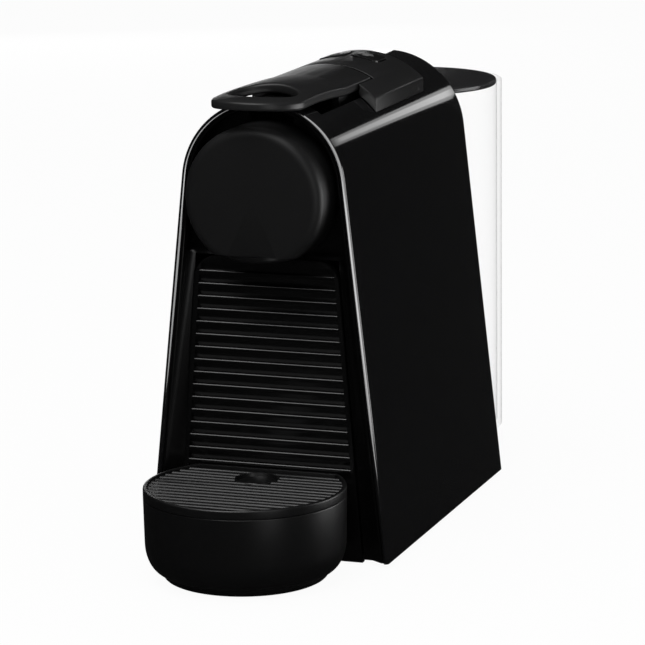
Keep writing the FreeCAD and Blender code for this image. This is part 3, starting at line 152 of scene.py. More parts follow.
class PodTraySizes(bpy.types.PropertyGroup):
    """The drip tray and its grid"""
    wall: length("Wall", "Thickness of the tray", 0.0022)
    foot_radius: length("Foot radius", "Radius of the foot under the drum", 0.0355)
    foot_height: length("Foot height", "Height of the foot under the drum", 0.0026)
    edge_round: length("Edge round", "Round along the drum's top edge", 0.0006)
    bottom_round: length("Bottom round", "Round under the drum", 0.012)
    rim: length("Rim", "Width of the grid's rim", 0.002)
    slat_pitch: length("Slat pitch", "Distance between slats", 0.0045)
    slat_width: length("Slat width", "Width of a slat", 0.0026)
    slat_height: length("Slat height", "Height of a slat", 0.0022)
    slat_drop: length("Slat drop", "From the rim's top down to the slats", 0.0007)
    slats: number("Slats", "Number of slats", 16)
    tie_place: length("Tie place", "From the middle to each of the two ties", 0.0175)
    dip_radius: length("Dip radius", "Radius of the round dip under the spout", 0.0087)
    dip_offset: length("Dip offset", "From the drum's middle back to the dip", 0.0145)
    dip_depth: length("Dip depth", "From the slats' top to the dip's underside", 0.0024)


class PodConsoleSizes(bpy.types.PropertyGroup):
    """The console and its buttons"""
    rise: length("Rise", "Height of the console above the shell", 0.0044)
    gap: length("Gap", "Room round the lever and the buttons", 0.0005)
    sweep: length("Sweep", "Radius that the lever's tail needs", 0.0133)
    sweep_wide: length("Sweep width", "Half width of the tail's barrel shape", 0.032)
    skin: length("Skin", "Thickness left above the cam plates", 0.0018)
    cavity: length("Cavity", "Room behind the pin for the cam plates", 0.0225)
    pin_reach: length("Pin reach", "From the middle to the hinge pin's end", 0.0243)
    edge_round: length("Edge round", "Round along the edges", 0.0006)
    button_corner: length("Button corner", "Radius of a button's corners", 0.003)
    button_rise: length("Button rise", "How far the buttons stand proud", 0.0004)
    sign: length("Sign", "Height that the cups' signs are a share of", 0.005)
    sign_width: length("Sign width", "Width of a cup's sign", 0.0042)
    sign_rise: length("Sign rise", "How far the signs stand proud", 0.00012)


class PodTankSizes(bpy.types.PropertyGroup):
    """The water tank and its lid"""
    middle: station("Middle", "Where the drum's middle is, from front to back", 0.113)
    radius: length("Radius", "Radius of the drum", 0.0432)
    wall: length("Wall", "Thickness of the vessel", 0.0022)
    front_corner: length("Front corner", "Radius of the two front corners", 0.006)
    valve_hole: length("Valve hole", "Radius of the hole for the valve", 0.0091)
    edge_round: length("Edge round", "Round along the lid's edge", 0.0009)
    lid_thick: length("Lid thickness", "Thickness of the lid", 0.0029)
    lid_gap: length("Lid gap", "Room round the lid in the mouth", 0.0004)
    lid_stand: length("Lid stand", "How far the lid stands above the vessel's rim", 0.0006)


class PodFinishes(bpy.types.PropertyGroup):
    """Colours of the finishes"""
    gloss_black: shade("Gloss black", "Polished shell", (0.0048, 0.0048, 0.0051))
    # The ribs and the fascia take a darker copy of satin black, as painted shade
    satin_black: shade("Satin black", "Tray, grid and buttons; dimmed, the ribs", (0.0036, 0.0036, 0.0038))
    soft_black: shade("Soft black", "Lever and console", (0.0125, 0.0125, 0.0129))
    matte_black: shade("Matte black", "Brew head, base, rear panel and lever arm", (0.0066, 0.0066, 0.0069))
    sign: shade("Sign grey", "Signs on the buttons", (0.16, 0.16, 0.16))
    smoke: shade("Smoke grey", "Tank lid", (0.020, 0.020, 0.021))
    inner_grey: shade("Inner grey", "Moulded pieces inside", (0.10, 0.10, 0.105))
    rubber: shade("Rubber", "Feet, hoses and seals", (0.012, 0.012, 0.012))
    coil_wrap: shade("Coil wrap", "Tape round the pump's coil", (0.02, 0.025, 0.06))
    steel: shade("Steel", "Pins, screws and plate", (0.56, 0.56, 0.57))
    cast_metal: shade("Cast metal", "Heater block", (0.50, 0.51, 0.52))
    board: shade("Board", "Circuit boards", (0.012, 0.085, 0.035))


class PodStage(bpy.types.PropertyGroup):
    """Camera and light"""
    lens: FloatProperty(name="Lens", description="Focal length in millimetres", default=189.7,
                        min=20, max=400, unit="CAMERA")
    reach: length("Camera reach", "From the camera to the point it looks at", 1.53849, 10)
    azimuth: turn("Azimuth", "Camera's turn to the right", 19.499)
    elevation: turn("Elevation", "Camera's height above the horizon", 11.945)
    roll: turn("Roll", "Camera's tilt", -0.679)
    ambient: FloatProperty(name="Ambient", description="Even light from all round",
                           default=0.45, min=0, max=2)
    floor_share: FloatProperty(name="Floor share", description="How much of the floor is plain white",
                               default=0.95, min=0, max=1, subtype="FACTOR")


GROUPS = {
    "pod_shell": PodShellSizes, "pod_head": PodHeadSizes, "pod_ribs": PodRibSizes,
    "pod_tray": PodTraySizes, "pod_console": PodConsoleSizes, "pod_tank": PodTankSizes,
    "pod_finishes": PodFinishes, "pod_stage": PodStage,
}


# Modelling by hand: each helper is one step at the bench

def close_piece():
    """Leaves edit mode with nothing selected."""
    if bpy.context.mode != "OBJECT":
        bpy.ops.object.mode_set(mode="OBJECT")
    bpy.ops.object.select_all(action="DESELECT")


def new_piece(name):
    """The object that an operator has just added, with its name."""
    piece = bpy.context.object
    piece.name = piece.data.name = name
    return piece


def open_piece(name, add, **options):
    """Adds a primitive with its place in its mesh and opens it for editing."""
    close_piece()
    add(**options)
    piece = new_piece(name)
    bpy.ops.object.transform_apply(location=True, rotation=True, scale=True)
    bpy.ops.object.mode_set(mode="EDIT")
    bpy.ops.mesh.select_mode(type="VERT")
    return piece


def activate(piece):
    """Closes what is open and selects one piece."""
    close_piece()
    piece.select_set(True)
    bpy.context.view_layer.objects.active = piece


def select(kind, test):
    """Selects the vertices, edges or faces of the open piece that pass a test."""
    bpy.ops.mesh.select_mode(type=kind)
    bpy.ops.mesh.select_all(action="DESELECT")
    mesh = bmesh.from_edit_mesh(bpy.context.object.data)
    parts = {"VERT": mesh.verts, "EDGE": mesh.edges, "FACE": mesh.faces}[kind]
    for part in [p for p in parts if test(p)]:
        part.select_set(True)
    mesh.select_flush_mode()
    bmesh.update_edit_mesh(bpy.context.object.data)


def near(a, b):
    """Whether two places along an axis are the same."""
    return abs(a - b) < MM / 50


def at(*place):
    """A test for vertices at a place."""
    return lambda vertex: all(near(c, p) for c, p in zip(vertex.co, place))


def merge_all():
    """Merges the open piece's doubles."""
    bpy.ops.mesh.select_all(action="SELECT")
    bpy.ops.mesh.remove_doubles(threshold=MERGE)


def tidy_mesh():
    """Merges doubles and turns all faces outwards."""
    merge_all()
    bpy.ops.mesh.normals_make_consistent(inside=False)


def extend(step):
    """Extrudes the selected vertices by a step."""
    bpy.ops.mesh.extrude_vertices_move(TRANSFORM_OT_translate={"value": step})


def draw(name, points):
    """A wire through points, drawn by extruding one vertex."""
    points = [Vector(p) for p in points]
    piece = open_piece(name, bpy.ops.mesh.primitive_plane_add, size=MM, location=points[0])
    bpy.ops.mesh.merge(type="CENTER")
    for here, there in zip(points, points[1:]):
        extend(there - here)
    return piece


def round_points(test, radius, segments):
    """Rounds the corners of a wire."""
    select("VERT", test)
    bpy.ops.mesh.bevel(offset=radius, segments=segments, affect="VERTICES")


def round_edges(test, width, segments):
    """Rounds the edges of the open piece that pass a test."""
    select("EDGE", test)
    bpy.ops.mesh.bevel(offset=width, segments=segments, affect="EDGES")


def fill():
    """Closes the wire and fills it with one face."""
    bpy.ops.mesh.select_mode(type="VERT")
    merge_all()
    bpy.ops.mesh.edge_face_add()


def push(step):
    """Extrudes the whole outline into a solid."""
    bpy.ops.mesh.select_all(action="SELECT")
    bpy.ops.mesh.extrude_region_move(TRANSFORM_OT_translate={"value": step})
    tidy_mesh()


def revolve(centre, axis, steps=128):
    """Turns the open wire into a solid of revolution."""
    bpy.ops.mesh.select_mode(type="VERT")
    bpy.ops.mesh.select_all(action="SELECT")
    bpy.ops.mesh.spin(steps=steps, angle=math.tau, center=centre, axis=axis)
    tidy_mesh()


def trim(place, normal):
    """Cuts the open piece along a plane, drops the side that the normal points to and caps the cut."""
    bpy.ops.mesh.select_all(action="SELECT")
    bpy.ops.mesh.bisect(plane_co=place, plane_no=normal, use_fill=True, clear_outer=True)
    tidy_mesh()


def trim_sides(left, right):
    """Cuts the open piece off upright at both sides."""
    trim((right, 0, 0), RIGHT)
    trim((left, 0, 0), LEFT)


def block(name, low, high):
    """A box between two corners."""
    low, high = Vector(low), Vector(high)
    return open_piece(name, bpy.ops.mesh.primitive_cube_add, size=1, location=(low + high) / 2,
                      scale=high - low)


def rounded_block(name, low, high, corner):
    """A block with rounded upright edges."""
    piece = block(name, low, high)
    round_edges(lambda e: abs(e.verts[0].co.z - e.verts[1].co.z) > MM, corner, 6)
    return piece


def drum(name, start, axis, radius, long, sides=96):
    """A cylinder from its start point along an axis."""
    start, axis = Vector(start), Vector(axis)
    return open_piece(name, bpy.ops.mesh.primitive_cylinder_add, vertices=sides, radius=radius, depth=long,
                      location=start + axis * long / 2, rotation=axis.to_track_quat("Z", "Y").to_euler())


def modify(piece, kind, **settings):
    """Adds a modifier and applies it."""
    activate(piece)
    modifier = piece.modifiers.new(kind.title(), kind)
    for key, value in settings.items():
        setattr(modifier, key, value)
    bpy.ops.object.modifier_apply(modifier=modifier.name)


def carve(piece, tool, operation="DIFFERENCE"):
    """Cuts, joins or crosses a piece with a tool, which is used up."""
    modify(piece, "BOOLEAN", operation=operation, solver="EXACT", object=tool)
    bpy.data.objects.remove(tool)


def soften(piece, width, segments=3, angle=38, **more):
    """Rounds every edge that is sharper than an angle."""
    modify(piece, "BEVEL", width=width, segments=segments, limit_method="ANGLE",
           angle_limit=math.radians(angle), **more)


def attach(piece, others):
    """Joins other objects into a piece."""
    activate(piece)
    for other in others:
        other.select_set(True)
    bpy.ops.object.join()


def copy_of(node, name):
    """A merged copy of a solid's mesh with its flat faces made whole."""
    activate(frame["nodes"][node])
    bpy.ops.object.duplicate()
    piece = new_piece(name)
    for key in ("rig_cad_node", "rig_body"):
        if key in piece:
            del piece[key]
    piece.parent = None
    piece.matrix_world = Matrix.Identity(4)
    bpy.ops.object.mode_set(mode="EDIT")
    merge_all()
    bpy.ops.mesh.dissolve_limited(angle_limit=math.radians(0.5))
    bpy.ops.object.mode_set(mode="OBJECT")
    return piece


def finish_piece(piece, body, slot, material, *nodes, angle=32):
    """Gives a piece its shading, finish and place in the machine."""
    activate(piece)
    bpy.ops.object.shade_smooth_by_angle(angle=math.radians(angle))
    piece.data.materials.clear()
    piece.data.materials.append(MATERIALS[material])
    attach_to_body(piece, body)
    if nodes:
        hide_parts(*nodes)


# Finishes

def set_inputs(node, values):
    """Sets a node's inputs by name; an underscore stands for a space."""
    for key, value in values.items():
        node.inputs[key.replace("_", " ")].default_value = value
    return node


def node_in(tree, kind, operation=None, **values):
    """A new node with its inputs set."""
    node = tree.nodes.new("ShaderNode" + kind)
    if operation:
        node.operation = operation
    return set_inputs(node, values)


def feed(tree, node, **sources):
    """Links sources to a node's inputs by name."""
    for key, source in sources.items():
        tree.links.new(source, node.inputs[key.replace("_", " ")])


def both(tree, operation, first, second):
    """Two values put together by a sum, a product or the like."""
    node = node_in(tree, "Math", operation)
    for place, value in zip(node.inputs, (first, second)):
        if isinstance(value, (int, float)):
            place.default_value = value
        else:
            tree.links.new(value, place)
    return node.outputs["Value"]


def effect(name, inputs, outputs):
    """An empty node group with a vector, values with their defaults, and what it puts out."""
    group = bpy.data.node_groups.new(name, "ShaderNodeTree")
    group.interface.new_socket(name="Vector", in_out="INPUT", socket_type="NodeSocketVector")
    for label, default in inputs.items():
        made = group.interface.new_socket(name=label, in_out="INPUT", socket_type="NodeSocketFloat")
        made.default_value = default
    for label in outputs:
        group.interface.new_socket(name=label, in_out="OUTPUT", socket_type="NodeSocketFloat")
    return group, group.nodes.new("NodeGroupInput").outputs, group.nodes.new("NodeGroupOutput")


def grain_group():
    """Spark-eroded mould grain: a height for bump and a mask of its hollows, for painted shade in them."""
    group, start, end = effect("mould_grain", {"Scale": 2500}, ("Height", "Hollows"))
    noise, cells = node_in(group, "TexNoise", Detail=2), node_in(group, "TexVoronoi")
    hollow_shade_mask = node_in(group, "MapRange", From_Min=0.55, From_Max=0.25)
    for node in (noise, cells):
        feed(group, node, Vector=start["Vector"], Scale=start["Scale"])
    feed(group, hollow_shade_mask, Value=noise.outputs["Fac"])
    feed(group, end, Height=both(group, "ADD", noise.outputs["Fac"], cells.outputs["Distance"]),
         Hollows=hollow_shade_mask.outputs["Result"])


def handling_group():
    """Soft smudges and fine hairlines from handling, as a mask."""
    group, start, end = effect("handling", {"Smudge Scale": 18}, ("Mask",))
    smudge = node_in(group, "TexNoise", Detail=5, Roughness=0.6)
    turned = node_in(group, "Mapping", Rotation=(0.4, 0.9, 0.6), Scale=(900, 30, 400))
    hair = node_in(group, "TexNoise", Scale=1)
    thin = node_in(group, "MapRange", From_Min=0.66, From_Max=0.74)
    spread = node_in(group, "MapRange", From_Min=0.4, From_Max=0.75, To_Max=0.8)
    feed(group, smudge, Vector=start["Vector"], Scale=start["Smudge Scale"])
    feed(group, turned, Vector=start["Vector"])
    feed(group, hair, Vector=turned.outputs["Vector"])
    feed(group, thin, Value=hair.outputs["Fac"])
    feed(group, spread, Value=smudge.outputs["Fac"])
    feed(group, end, Mask=both(group, "MAXIMUM", spread.outputs["Result"], thin.outputs["Result"]))


def material(name):
    """A new material's tree, its shader and its object coordinates."""
    made = bpy.data.materials.new(name)
    made.use_nodes = True
    MATERIALS[name] = made
    tree = made.node_tree
    return tree, tree.nodes["Principled BSDF"], node_in(tree, "TexCoord").outputs["Object"]


def placed(tree, group, vector, **values):
    """An effect placed in a material with its own values."""
    node = node_in(tree, "Group")
    node.node_tree = bpy.data.node_groups[group]
    feed(tree, node, Vector=vector)
    return set_inputs(node, values)


def spread_between(tree, mask, low, high):
    """A value that runs from low to high with a mask."""
    node = node_in(tree, "MapRange", To_Min=low, To_Max=high)
    feed(tree, node, Value=mask)
    return node.outputs["Result"]


def tint(tree, mask, colour, other):
    """A colour that turns into another with a mask."""
    node = node_in(tree, "Mix")
    node.data_type = "RGBA"
    set_inputs(node, {"A": (*colour, 1), "B": (*other, 1)})
    feed(tree, node, Factor=mask)
    return node.outputs["Result"]


def relief(tree, shader, height, strength, distance):
    """A bump on a shader."""
    bump = node_in(tree, "Bump", Strength=strength, Distance=distance)
    feed(tree, bump, Height=height)
    feed(tree, shader, Normal=bump.outputs["Normal"])


def scaled(colour, share):
    """A colour made darker or lighter."""
    return [c * share for c in colour]


def moulded(name, colour, rough, grain, strength, smudge, level):
    """A moulded plastic: grain in its relief, painted shade in the grain's hollows, smudges in its gloss."""
    tree, shader, place = material(name)
    marks = placed(tree, "handling", place, Smudge_Scale=22)
    skin = placed(tree, "mould_grain", place, Scale=grain)
    # Painted shade: the grain's hollows take the colour at three quarters
    feed(tree, shader, Base_Color=tint(tree, skin.outputs["Hollows"], colour, scaled(colour, 0.75)),
         Roughness=spread_between(tree, marks.outputs["Mask"], rough, rough + smudge))
    set_inputs(shader, {"Specular IOR Level": level})
    relief(tree, shader, skin.outputs["Height"], strength, MM / 25)


def metal(name, colour, rough, stretch, strength):
    """A metal with drawn or cast relief."""
    tree, shader, place = material(name)
    turned = node_in(tree, "Mapping", Scale=stretch)
    noise = node_in(tree, "TexNoise", Scale=1, Detail=4)
    grain = noise.outputs["Fac"]
    feed(tree, turned, Vector=place)
    feed(tree, noise, Vector=turned.outputs["Vector"])
    feed(tree, shader, Base_Color=tint(tree, grain, scaled(colour, 0.8), colour),
         Roughness=spread_between(tree, grain, rough - 0.08, rough + 0.08))
    set_inputs(shader, {"Metallic": 1})
    relief(tree, shader, grain, strength, MM / 20)


def clear_plastic():
    """Clear vessel: see-through from the front, with painted shade that greys it along its edges where the
    view grazes, and faint waves from its mould.
    """
    tree, shader, place = material("clear_plastic")
    grey, paler = (0.20, 0.205, 0.21), (0.26, 0.265, 0.27)
    noise = node_in(tree, "TexNoise", Scale=30)
    feed(tree, noise, Vector=place)
    waves = noise.outputs["Fac"]
    # Painted shade: the vessel turns opaque grey where the view grazes its surface
    edge = node_in(tree, "LayerWeight", Blend=0.12)
    painted_edge_shade = both(tree, "POWER", edge.outputs["Facing"], 3)
    feed(tree, shader, Base_Color=tint(tree, waves, grey, paler),
         Roughness=spread_between(tree, waves, 0.02, 0.06), Alpha=spread_between(tree, painted_edge_shade, 0.004, 2.4))
    relief(tree, shader, waves, 0.02, MM / 5)


def circuit_board(colour):
    """Solder mask with tracks."""
    tree, shader, place = material("circuit_board")
    tracks = node_in(tree, "TexBrick", Scale=260, Mortar_Size=0.06, Color1=(*colour, 1),
                     Color2=(*scaled(colour, 0.8), 1), Mortar=(*scaled(colour, 2.2), 1))
    lines = tracks.outputs["Fac"]
    feed(tree, tracks, Vector=place)
    feed(tree, shader, Base_Color=tracks.outputs["Color"], Roughness=spread_between(tree, lines, 0.3, 0.2))
    relief(tree, shader, lines, 0.2, MM / 20)


PLASTICS = (
    # finish, colour, share of it, roughness, scale of grain, strength of grain, smudges, specular level
    ("gloss_black", "gloss_black", 1, 0.06, 260, 0.01, 0.04, 0.6),
    ("satin_black", "satin_black", 1, 0.32, 1500, 0.08, 0.06, 0.38),
    ("matte_black", "matte_black", 1, 0.48, 1900, 0.16, 0.05, 0.35),
    # Painted shade: the ribs' and fascia's finish is satin black at 0.42 of its colour
    ("rib_black", "satin_black", 0.42, 0.24, 1500, 0.05, 0.02, 0.6),
    ("soft_black", "soft_black", 1, 0.36, 1600, 0.10, 0.06, 0.45),
    ("button_black", "satin_black", 1, 0.30, 1500, 0.08, 0.06, 0.5),
    ("sign_grey", "sign", 1, 0.4, 1500, 0.05, 0.05, 0.5),
    ("smoke", "smoke", 1, 0.22, 900, 0.03, 0.05, 0.4),
    ("inner_grey", "inner_grey", 1, 0.5, 1400, 0.12, 0.05, 0.5),
    ("rubber", "rubber", 1, 0.7, 900, 0.25, 0.05, 0.3),
    ("coil_wrap", "coil_wrap", 1, 0.4, 700, 0.2, 0.05, 0.5),
)

# Solids that are shown as they are; the rest of them are inner grey
SOLIDS_IN = {
    "satin_black": ("coffee_spout", "bin_carrier"),
    "matte_black": ("rear_panel", "base_plate", "lever_arm", "capsule_bin"),
    "rubber": ("cord_gland", "rubber_feet", "cage_seal", "connector_seal", "pump_mounts", "suction_hose",
               "pump_hose", "pressure_hose", "hot_hose"),
    "steel": ("base_screws", "follower_pin", "extraction_plate", "inlet_stem", "piercing_blades",
              "thermostats", "pump_body"),
    "cast_metal": ("heater_block",),
    "circuit_board": ("button_board", "control_board"),
    "coil_wrap": ("pump_coil",),
}


class PodFinish(bpy.types.Operator):
    """Makes the finishes and gives them to the solids that stay"""
    bl_idname = "pod.finish"
    bl_label = "Finishes"

    def execute(self, context):
        colours = context.scene.pod_finishes
        grain_group()
        handling_group()
        for name, colour, share, *skin in PLASTICS:
            moulded(name, scaled(getattr(colours, colour), share), *skin)
        metal("steel", colours.steel, 0.3, (120, 2600, 2600), 0.05)
        metal("cast_metal", colours.cast_metal, 0.42, (420, 420, 420), 0.35)
        clear_plastic()
        circuit_board(colours.board)
        finish_of = {node: finish for finish, nodes in SOLIDS_IN.items() for node in nodes}
        for name, node in frame["nodes"].items():
            node.data.materials.clear()
            node.data.materials.append(MATERIALS[finish_of.get(name, "inner_grey")])
        return {"FINISHED"}


# Pieces

def arch_middle():
    """Height of the round top's middle."""
    return SHELL_HIGH.z - bpy.context.scene.pod_shell.arch_radius


class PodShell(bpy.types.Operator):
    """Models the gloss arch with its rounded ends and the hatch under the lever"""
    bl_idname = "pod.shell"
    bl_label = "Shell"

    def execute(self, context):
        sizes = context.scene.pod_shell
        front, rear = SHELL_LOW.y, SHELL_HIGH.y
        floor, half = SHELL_LOW.z, SHELL_HIGH.x
        radius, middle = sizes.arch_radius, arch_middle()
        rise = middle - floor
        flare = math.acos(radius / math.hypot(half, rise)) - math.atan2(rise, half)
        touch = Vector((radius * math.cos(flare), front, middle + radius * math.sin(flare)))
        shell = draw("shell", [touch])
        bpy.ops.mesh.spin(steps=56, angle=math.pi - 2 * flare, center=(0, front, middle), axis=BACK)
        for side in (1, -1):
            select("VERT", at(side * touch.x, front, touch.z))
            extend((side * (half - touch.x), 0, floor - touch.z))
        merge_all()
        bpy.ops.mesh.extrude_edges_move(TRANSFORM_OT_translate={"value": (0, rear - front, 0)})
        bpy.ops.mesh.select_all(action="SELECT")
        mesh = bmesh.from_edit_mesh(shell.data)
        top = max(mesh.faces, key=lambda f: f.calc_center_median().z)
        if top.normal.z < 0:
            bpy.ops.mesh.flip_normals()
        modify(shell, "SOLIDIFY", thickness=sizes.wall, offset=-1, use_even_offset=True)
        bpy.ops.object.mode_set(mode="EDIT")

        def outside(vertex):
            x, z = vertex.co.x, vertex.co.z - middle
            side = abs(x) * math.cos(flare) + z * math.sin(flare)
            return max(side, math.hypot(x, z) if vertex.co.z > touch.z else 0) > radius - sizes.wall / 2

        def outer_rim(edge):
            ends = [v.co.y for v in edge.verts]
            return all(outside(v) for v in edge.verts) and any(
                all(near(y, end) for y in ends) for end in (front, rear))

        def inner_rim(edge):
            return all(near(v.co.y, front) and not outside(v) for v in edge.verts)

        round_edges(outer_rim, sizes.edge_round, 6)
        round_edges(inner_rim, (sizes.wall - sizes.edge_round) * 0.9, 5)  # most of the wall that is left
        hatch = block("hatch", (-sizes.hatch_half, sizes.hatch_front, middle),
                      (sizes.hatch_half, sizes.hatch_rear, SHELL_HIGH.z + sizes.wall))
        carve(shell, hatch)
        finish_piece(shell, "machine", "gloss_black", "gloss_black", "outer_shell")
        return {"FINISHED"}


class PodFascia(bpy.types.Operator):
    """Copies the fascia, which keeps its solid's shape"""
    bl_idname = "pod.fascia"
    bl_label = "Fascia"

    def execute(self, context):
        fascia = copy_of("front_fascia", "fascia")
        # The fascia takes the darker copy of satin black, as painted shade
        finish_piece(fascia, "machine", "gloss_black", "rib_black", "front_fascia")
        return {"FINISHED"}


class PodHead(bpy.types.Operator):
    """Models the brew head's cap: a hollow drum with a soft front edge, cut flat underneath"""
    bl_idname = "pod.head"
    bl_label = "Brew head"

    def execute(self, context):
        sizes = context.scene.pod_head
        front, back, radius = HEAD_LOW.y, HEAD_HIGH.y, HEAD_HIGH.x
        axis, wall = sizes.axis_height, sizes.wall
        crest = axis + radius
        cap = draw("head_cap", [(0, front, axis), (0, front, crest), (0, back, crest), (0, back, axis)])
        round_points(at(0, front, crest), sizes.soft_edge, 8)
        round_points(at(0, back, crest), MM / 2, 2)
        revolve((0, front, axis), BACK)
        trim((0, 0, HEAD_LOW.z), DOWN)
        hollow = drum("hollow", (0, front + wall, axis), BACK, radius - wall, 2 * (back - front))
        trim((0, 0, HEAD_LOW.z + wall), DOWN)
        carve(cap, hollow)
        spout_low, spout_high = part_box("coffee_spout")
        spout_y = spout_low.y + spout_high.x
        carve(cap, drum("hole", (0, spout_y, HEAD_LOW.z - wall), UP, sizes.spout_hole, 3 * wall, 64))
        soften(cap, MM / 3, 2, 60)
        finish_piece(cap, "machine", "matte_black", "matte_black", "brew_head_cap")
        return {"FINISHED"}


def panel_outline(name, grow, top, bottom, y):
    """The ribbed front's tapered outline, grown by a margin."""
    narrow = bpy.context.scene.pod_ribs.top_half
    slope = (RIBS_HIGH.x - narrow) / (RIBS_HIGH.z - RIBS_LOW.z)
    high, low = (narrow + grow + slope * (RIBS_HIGH.z - z) for z in (top, bottom))
    corners = [(-low, bottom), (low, bottom), (high, top), (-high, top), (-low, bottom)]
    return draw(name, [(x, y, z) for x, z in corners])


class PodRibs(bpy.types.Operator):
    """Models the ribbed front: a plain frame round a field of rounded ledges"""
    bl_idname = "pod.ribs"
    bl_label = "Ribbed front"

    def execute(self, context):
        sizes = context.scene.pod_ribs
        front, back, top, low = RIBS_LOW.y, RIBS_HIGH.y, RIBS_HIGH.z, RIBS_LOW.z
        thick = back - front
        plate = panel_outline("ribbed_panel", 0, top, low, front)
        round_points(lambda v: near(v.co.z, top), sizes.corner, 8)
        fill()
        push((0, thick, 0))
        first = top - sizes.first
        last = first - sizes.count * sizes.pitch
        valley = front + sizes.depth
        pocket = panel_outline("pocket", -sizes.border, first + sizes.pitch / 2, last, front - thick)
        fill()
        push((0, thick + sizes.depth, 0))
        carve(plate, pocket)
        carrier_low, carrier_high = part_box("bin_carrier")
        carve(plate, block("notch", (carrier_low.x - MM / 2, front - MM, 0),
                           (carrier_high.x + MM / 2, back + MM, carrier_high.z + MM / 2)))
        soften(plate, sizes.border_round, 2)
        blank = 50 * MM  # half the ribs' width before they are trimmed to the outline
        points = [(valley + sizes.lip, first), (valley, first)]
        for i in range(sizes.count):
            ledge = first - i * sizes.pitch
            points += [(front, ledge), (front, ledge - sizes.lip), (valley, ledge - sizes.pitch)]
        points += [(valley + sizes.lip, last), points[0]]
        ribs = draw("ribs", [(-blank, y, z) for y, z in points])
        round_points(lambda v: near(v.co.y, front), sizes.lip * 0.48, 5)  # nearly a half round
        fill()
        push((2 * blank, 0, 0))
        trimmer = panel_outline("trimmer", -sizes.border / 2, first + sizes.pitch, last - sizes.pitch,
                                front - MM)
        fill()
        push((0, thick + MM, 0))
        carve(ribs, trimmer, "INTERSECT")
        attach(plate, [ribs])
        # The ribs take the darker copy of satin black, as painted shade
        finish_piece(plate, "tray", "satin_black", "rib_black", "ribbed_front", angle=40)
        return {"FINISHED"}


class PodTray(bpy.types.Operator):
    """Models the drip tray: a turned drum on a rounded foot, flat at the back, with a hollow bowl"""
    bl_idname = "pod.tray"
    bl_label = "Drip tray"

    def execute(self, context):
        sizes = context.scene.pod_tray
        radius, low, top, back = GRID_HIGH.x, TRAY_LOW.z, TRAY_HIGH.z, GRID_HIGH.y
        middle, soft, wall, foot = TRAY_LOW.y + radius, sizes.edge_round, sizes.wall, sizes.foot_radius
        step = low + sizes.foot_height
        outline = [(0, low), (foot, low), (foot, step + soft), (radius - soft, step + soft), (radius, top),
                   (0, top)]
        tray = draw("tray", [(r, middle, z) for r, z in outline])
        round_points(at(radius - soft, middle, step + soft), sizes.bottom_round, 12)
        round_points(at(foot, middle, low), sizes.foot_height * 0.9, 5)  # nearly its full height
        round_points(at(radius, middle, top), soft, 3)
        revolve((0, middle, 0), UP, 160)
        trim((0, back, 0), BACK)
        inner, floor = radius - wall, step + wall
        hollow = [(0, floor), (inner, floor), (inner, top + wall), (0, top + wall)]
        bowl = draw("bowl", [(r, middle, z) for r, z in hollow])
        round_points(at(inner, middle, floor), sizes.bottom_round - wall, 8)
        revolve((0, middle, 0), UP)
        trim((0, back - wall, 0), BACK)
        carve(tray, bowl)
        finish_piece(tray, "tray", "satin_black", "satin_black", "drip_tray")
        return {"FINISHED"}


class PodGrid(bpy.types.Operator):
    """Models the drip grid: a rounded rim, a row of rounded slats, two ties and the dip under the spout"""
    bl_idname = "pod.grid"
    bl_label = "Drip grid"

    def execute(self, context):
        sizes = context.scene.pod_tray
        radius, low, top, back = GRID_HIGH.x, GRID_LOW.z, GRID_HIGH.z, GRID_HIGH.y
        middle, rim, width = GRID_LOW.y + radius, sizes.rim, sizes.slat_width

        def keep_inside(piece, start, long, sides):
            inside = drum("inside", (0, middle, start), UP, radius - rim / 2, long, sides)
            carve(piece, inside, "INTERSECT")

        outline = [(radius, low), (radius, top), (radius - rim, top), (radius - rim, low), (radius, low)]
        ring = draw("grid", [(r, middle, z) for r, z in outline])
        merge_all()
        round_points(lambda v: near(v.co.z, top), rim * SOFT_SHARE, 4)
        revolve((0, middle, 0), UP, 160)
        trim((0, back, 0), BACK)
        slat_top = top - sizes.slat_drop
        slat_low = slat_top - sizes.slat_height
        first = back - rim - sizes.slat_pitch
        slats = block("slats", (-radius, first, slat_low), (radius, first + width, slat_top))
        soften(slats, width * SOFT_SHARE, 4)
        modify(slats, "ARRAY", count=sizes.slats, use_relative_offset=False, use_constant_offset=True,
               constant_offset_displace=(0, -sizes.slat_pitch, 0))
        keep_inside(slats, low, top - low, 160)
        dip_y = middle + sizes.dip_offset
        carve(slats, drum("hole", (0, dip_y, 0), UP, sizes.dip_radius, top + MM, 64))
        ties = []
        for x in (sizes.tie_place, -sizes.tie_place - width):
            tie = block("tie", (x, middle - radius, slat_low), (x + width, back, slat_low + MM))
            keep_inside(tie, 0, top + MM, 96)
            ties.append(tie)
        bar = block("bar", (-radius, back - rim, low), (radius, back, top))
        keep_inside(bar, 0, top + MM, 160)
        soften(bar, MM / 3, 2)
        inner, outer = sizes.dip_radius, sizes.dip_radius + rim / 2
        dip_low = slat_top - sizes.dip_depth
        cup = [(0, dip_low), (outer, dip_low), (outer, slat_top - MM / 4), (outer - MM / 4, slat_top),
               (inner, slat_top), (inner - MM / 2, dip_low + MM), (0, dip_low + MM)]
        dip = draw("dip", [(r, dip_y, z) for r, z in cup])
        revolve((0, dip_y, 0), UP, 64)
        attach(ring, [slats, bar, dip, *ties])
        finish_piece(ring, "grid", "satin_black", "satin_black", "drip_grid", angle=40)
        return {"FINISHED"}


class PodLever(bpy.types.Operator):
    """Copies the lever's bent plate, with its drooping nose and oval finger hole"""
    bl_idname = "pod.lever"
    bl_label = "Lever"

    def execute(self, context):
        lever = copy_of("lever_handle", "lever")
        finish_piece(lever, "lever", "satin_black", "soft_black", "lever_handle", angle=40)
        return {"FINISHED"}


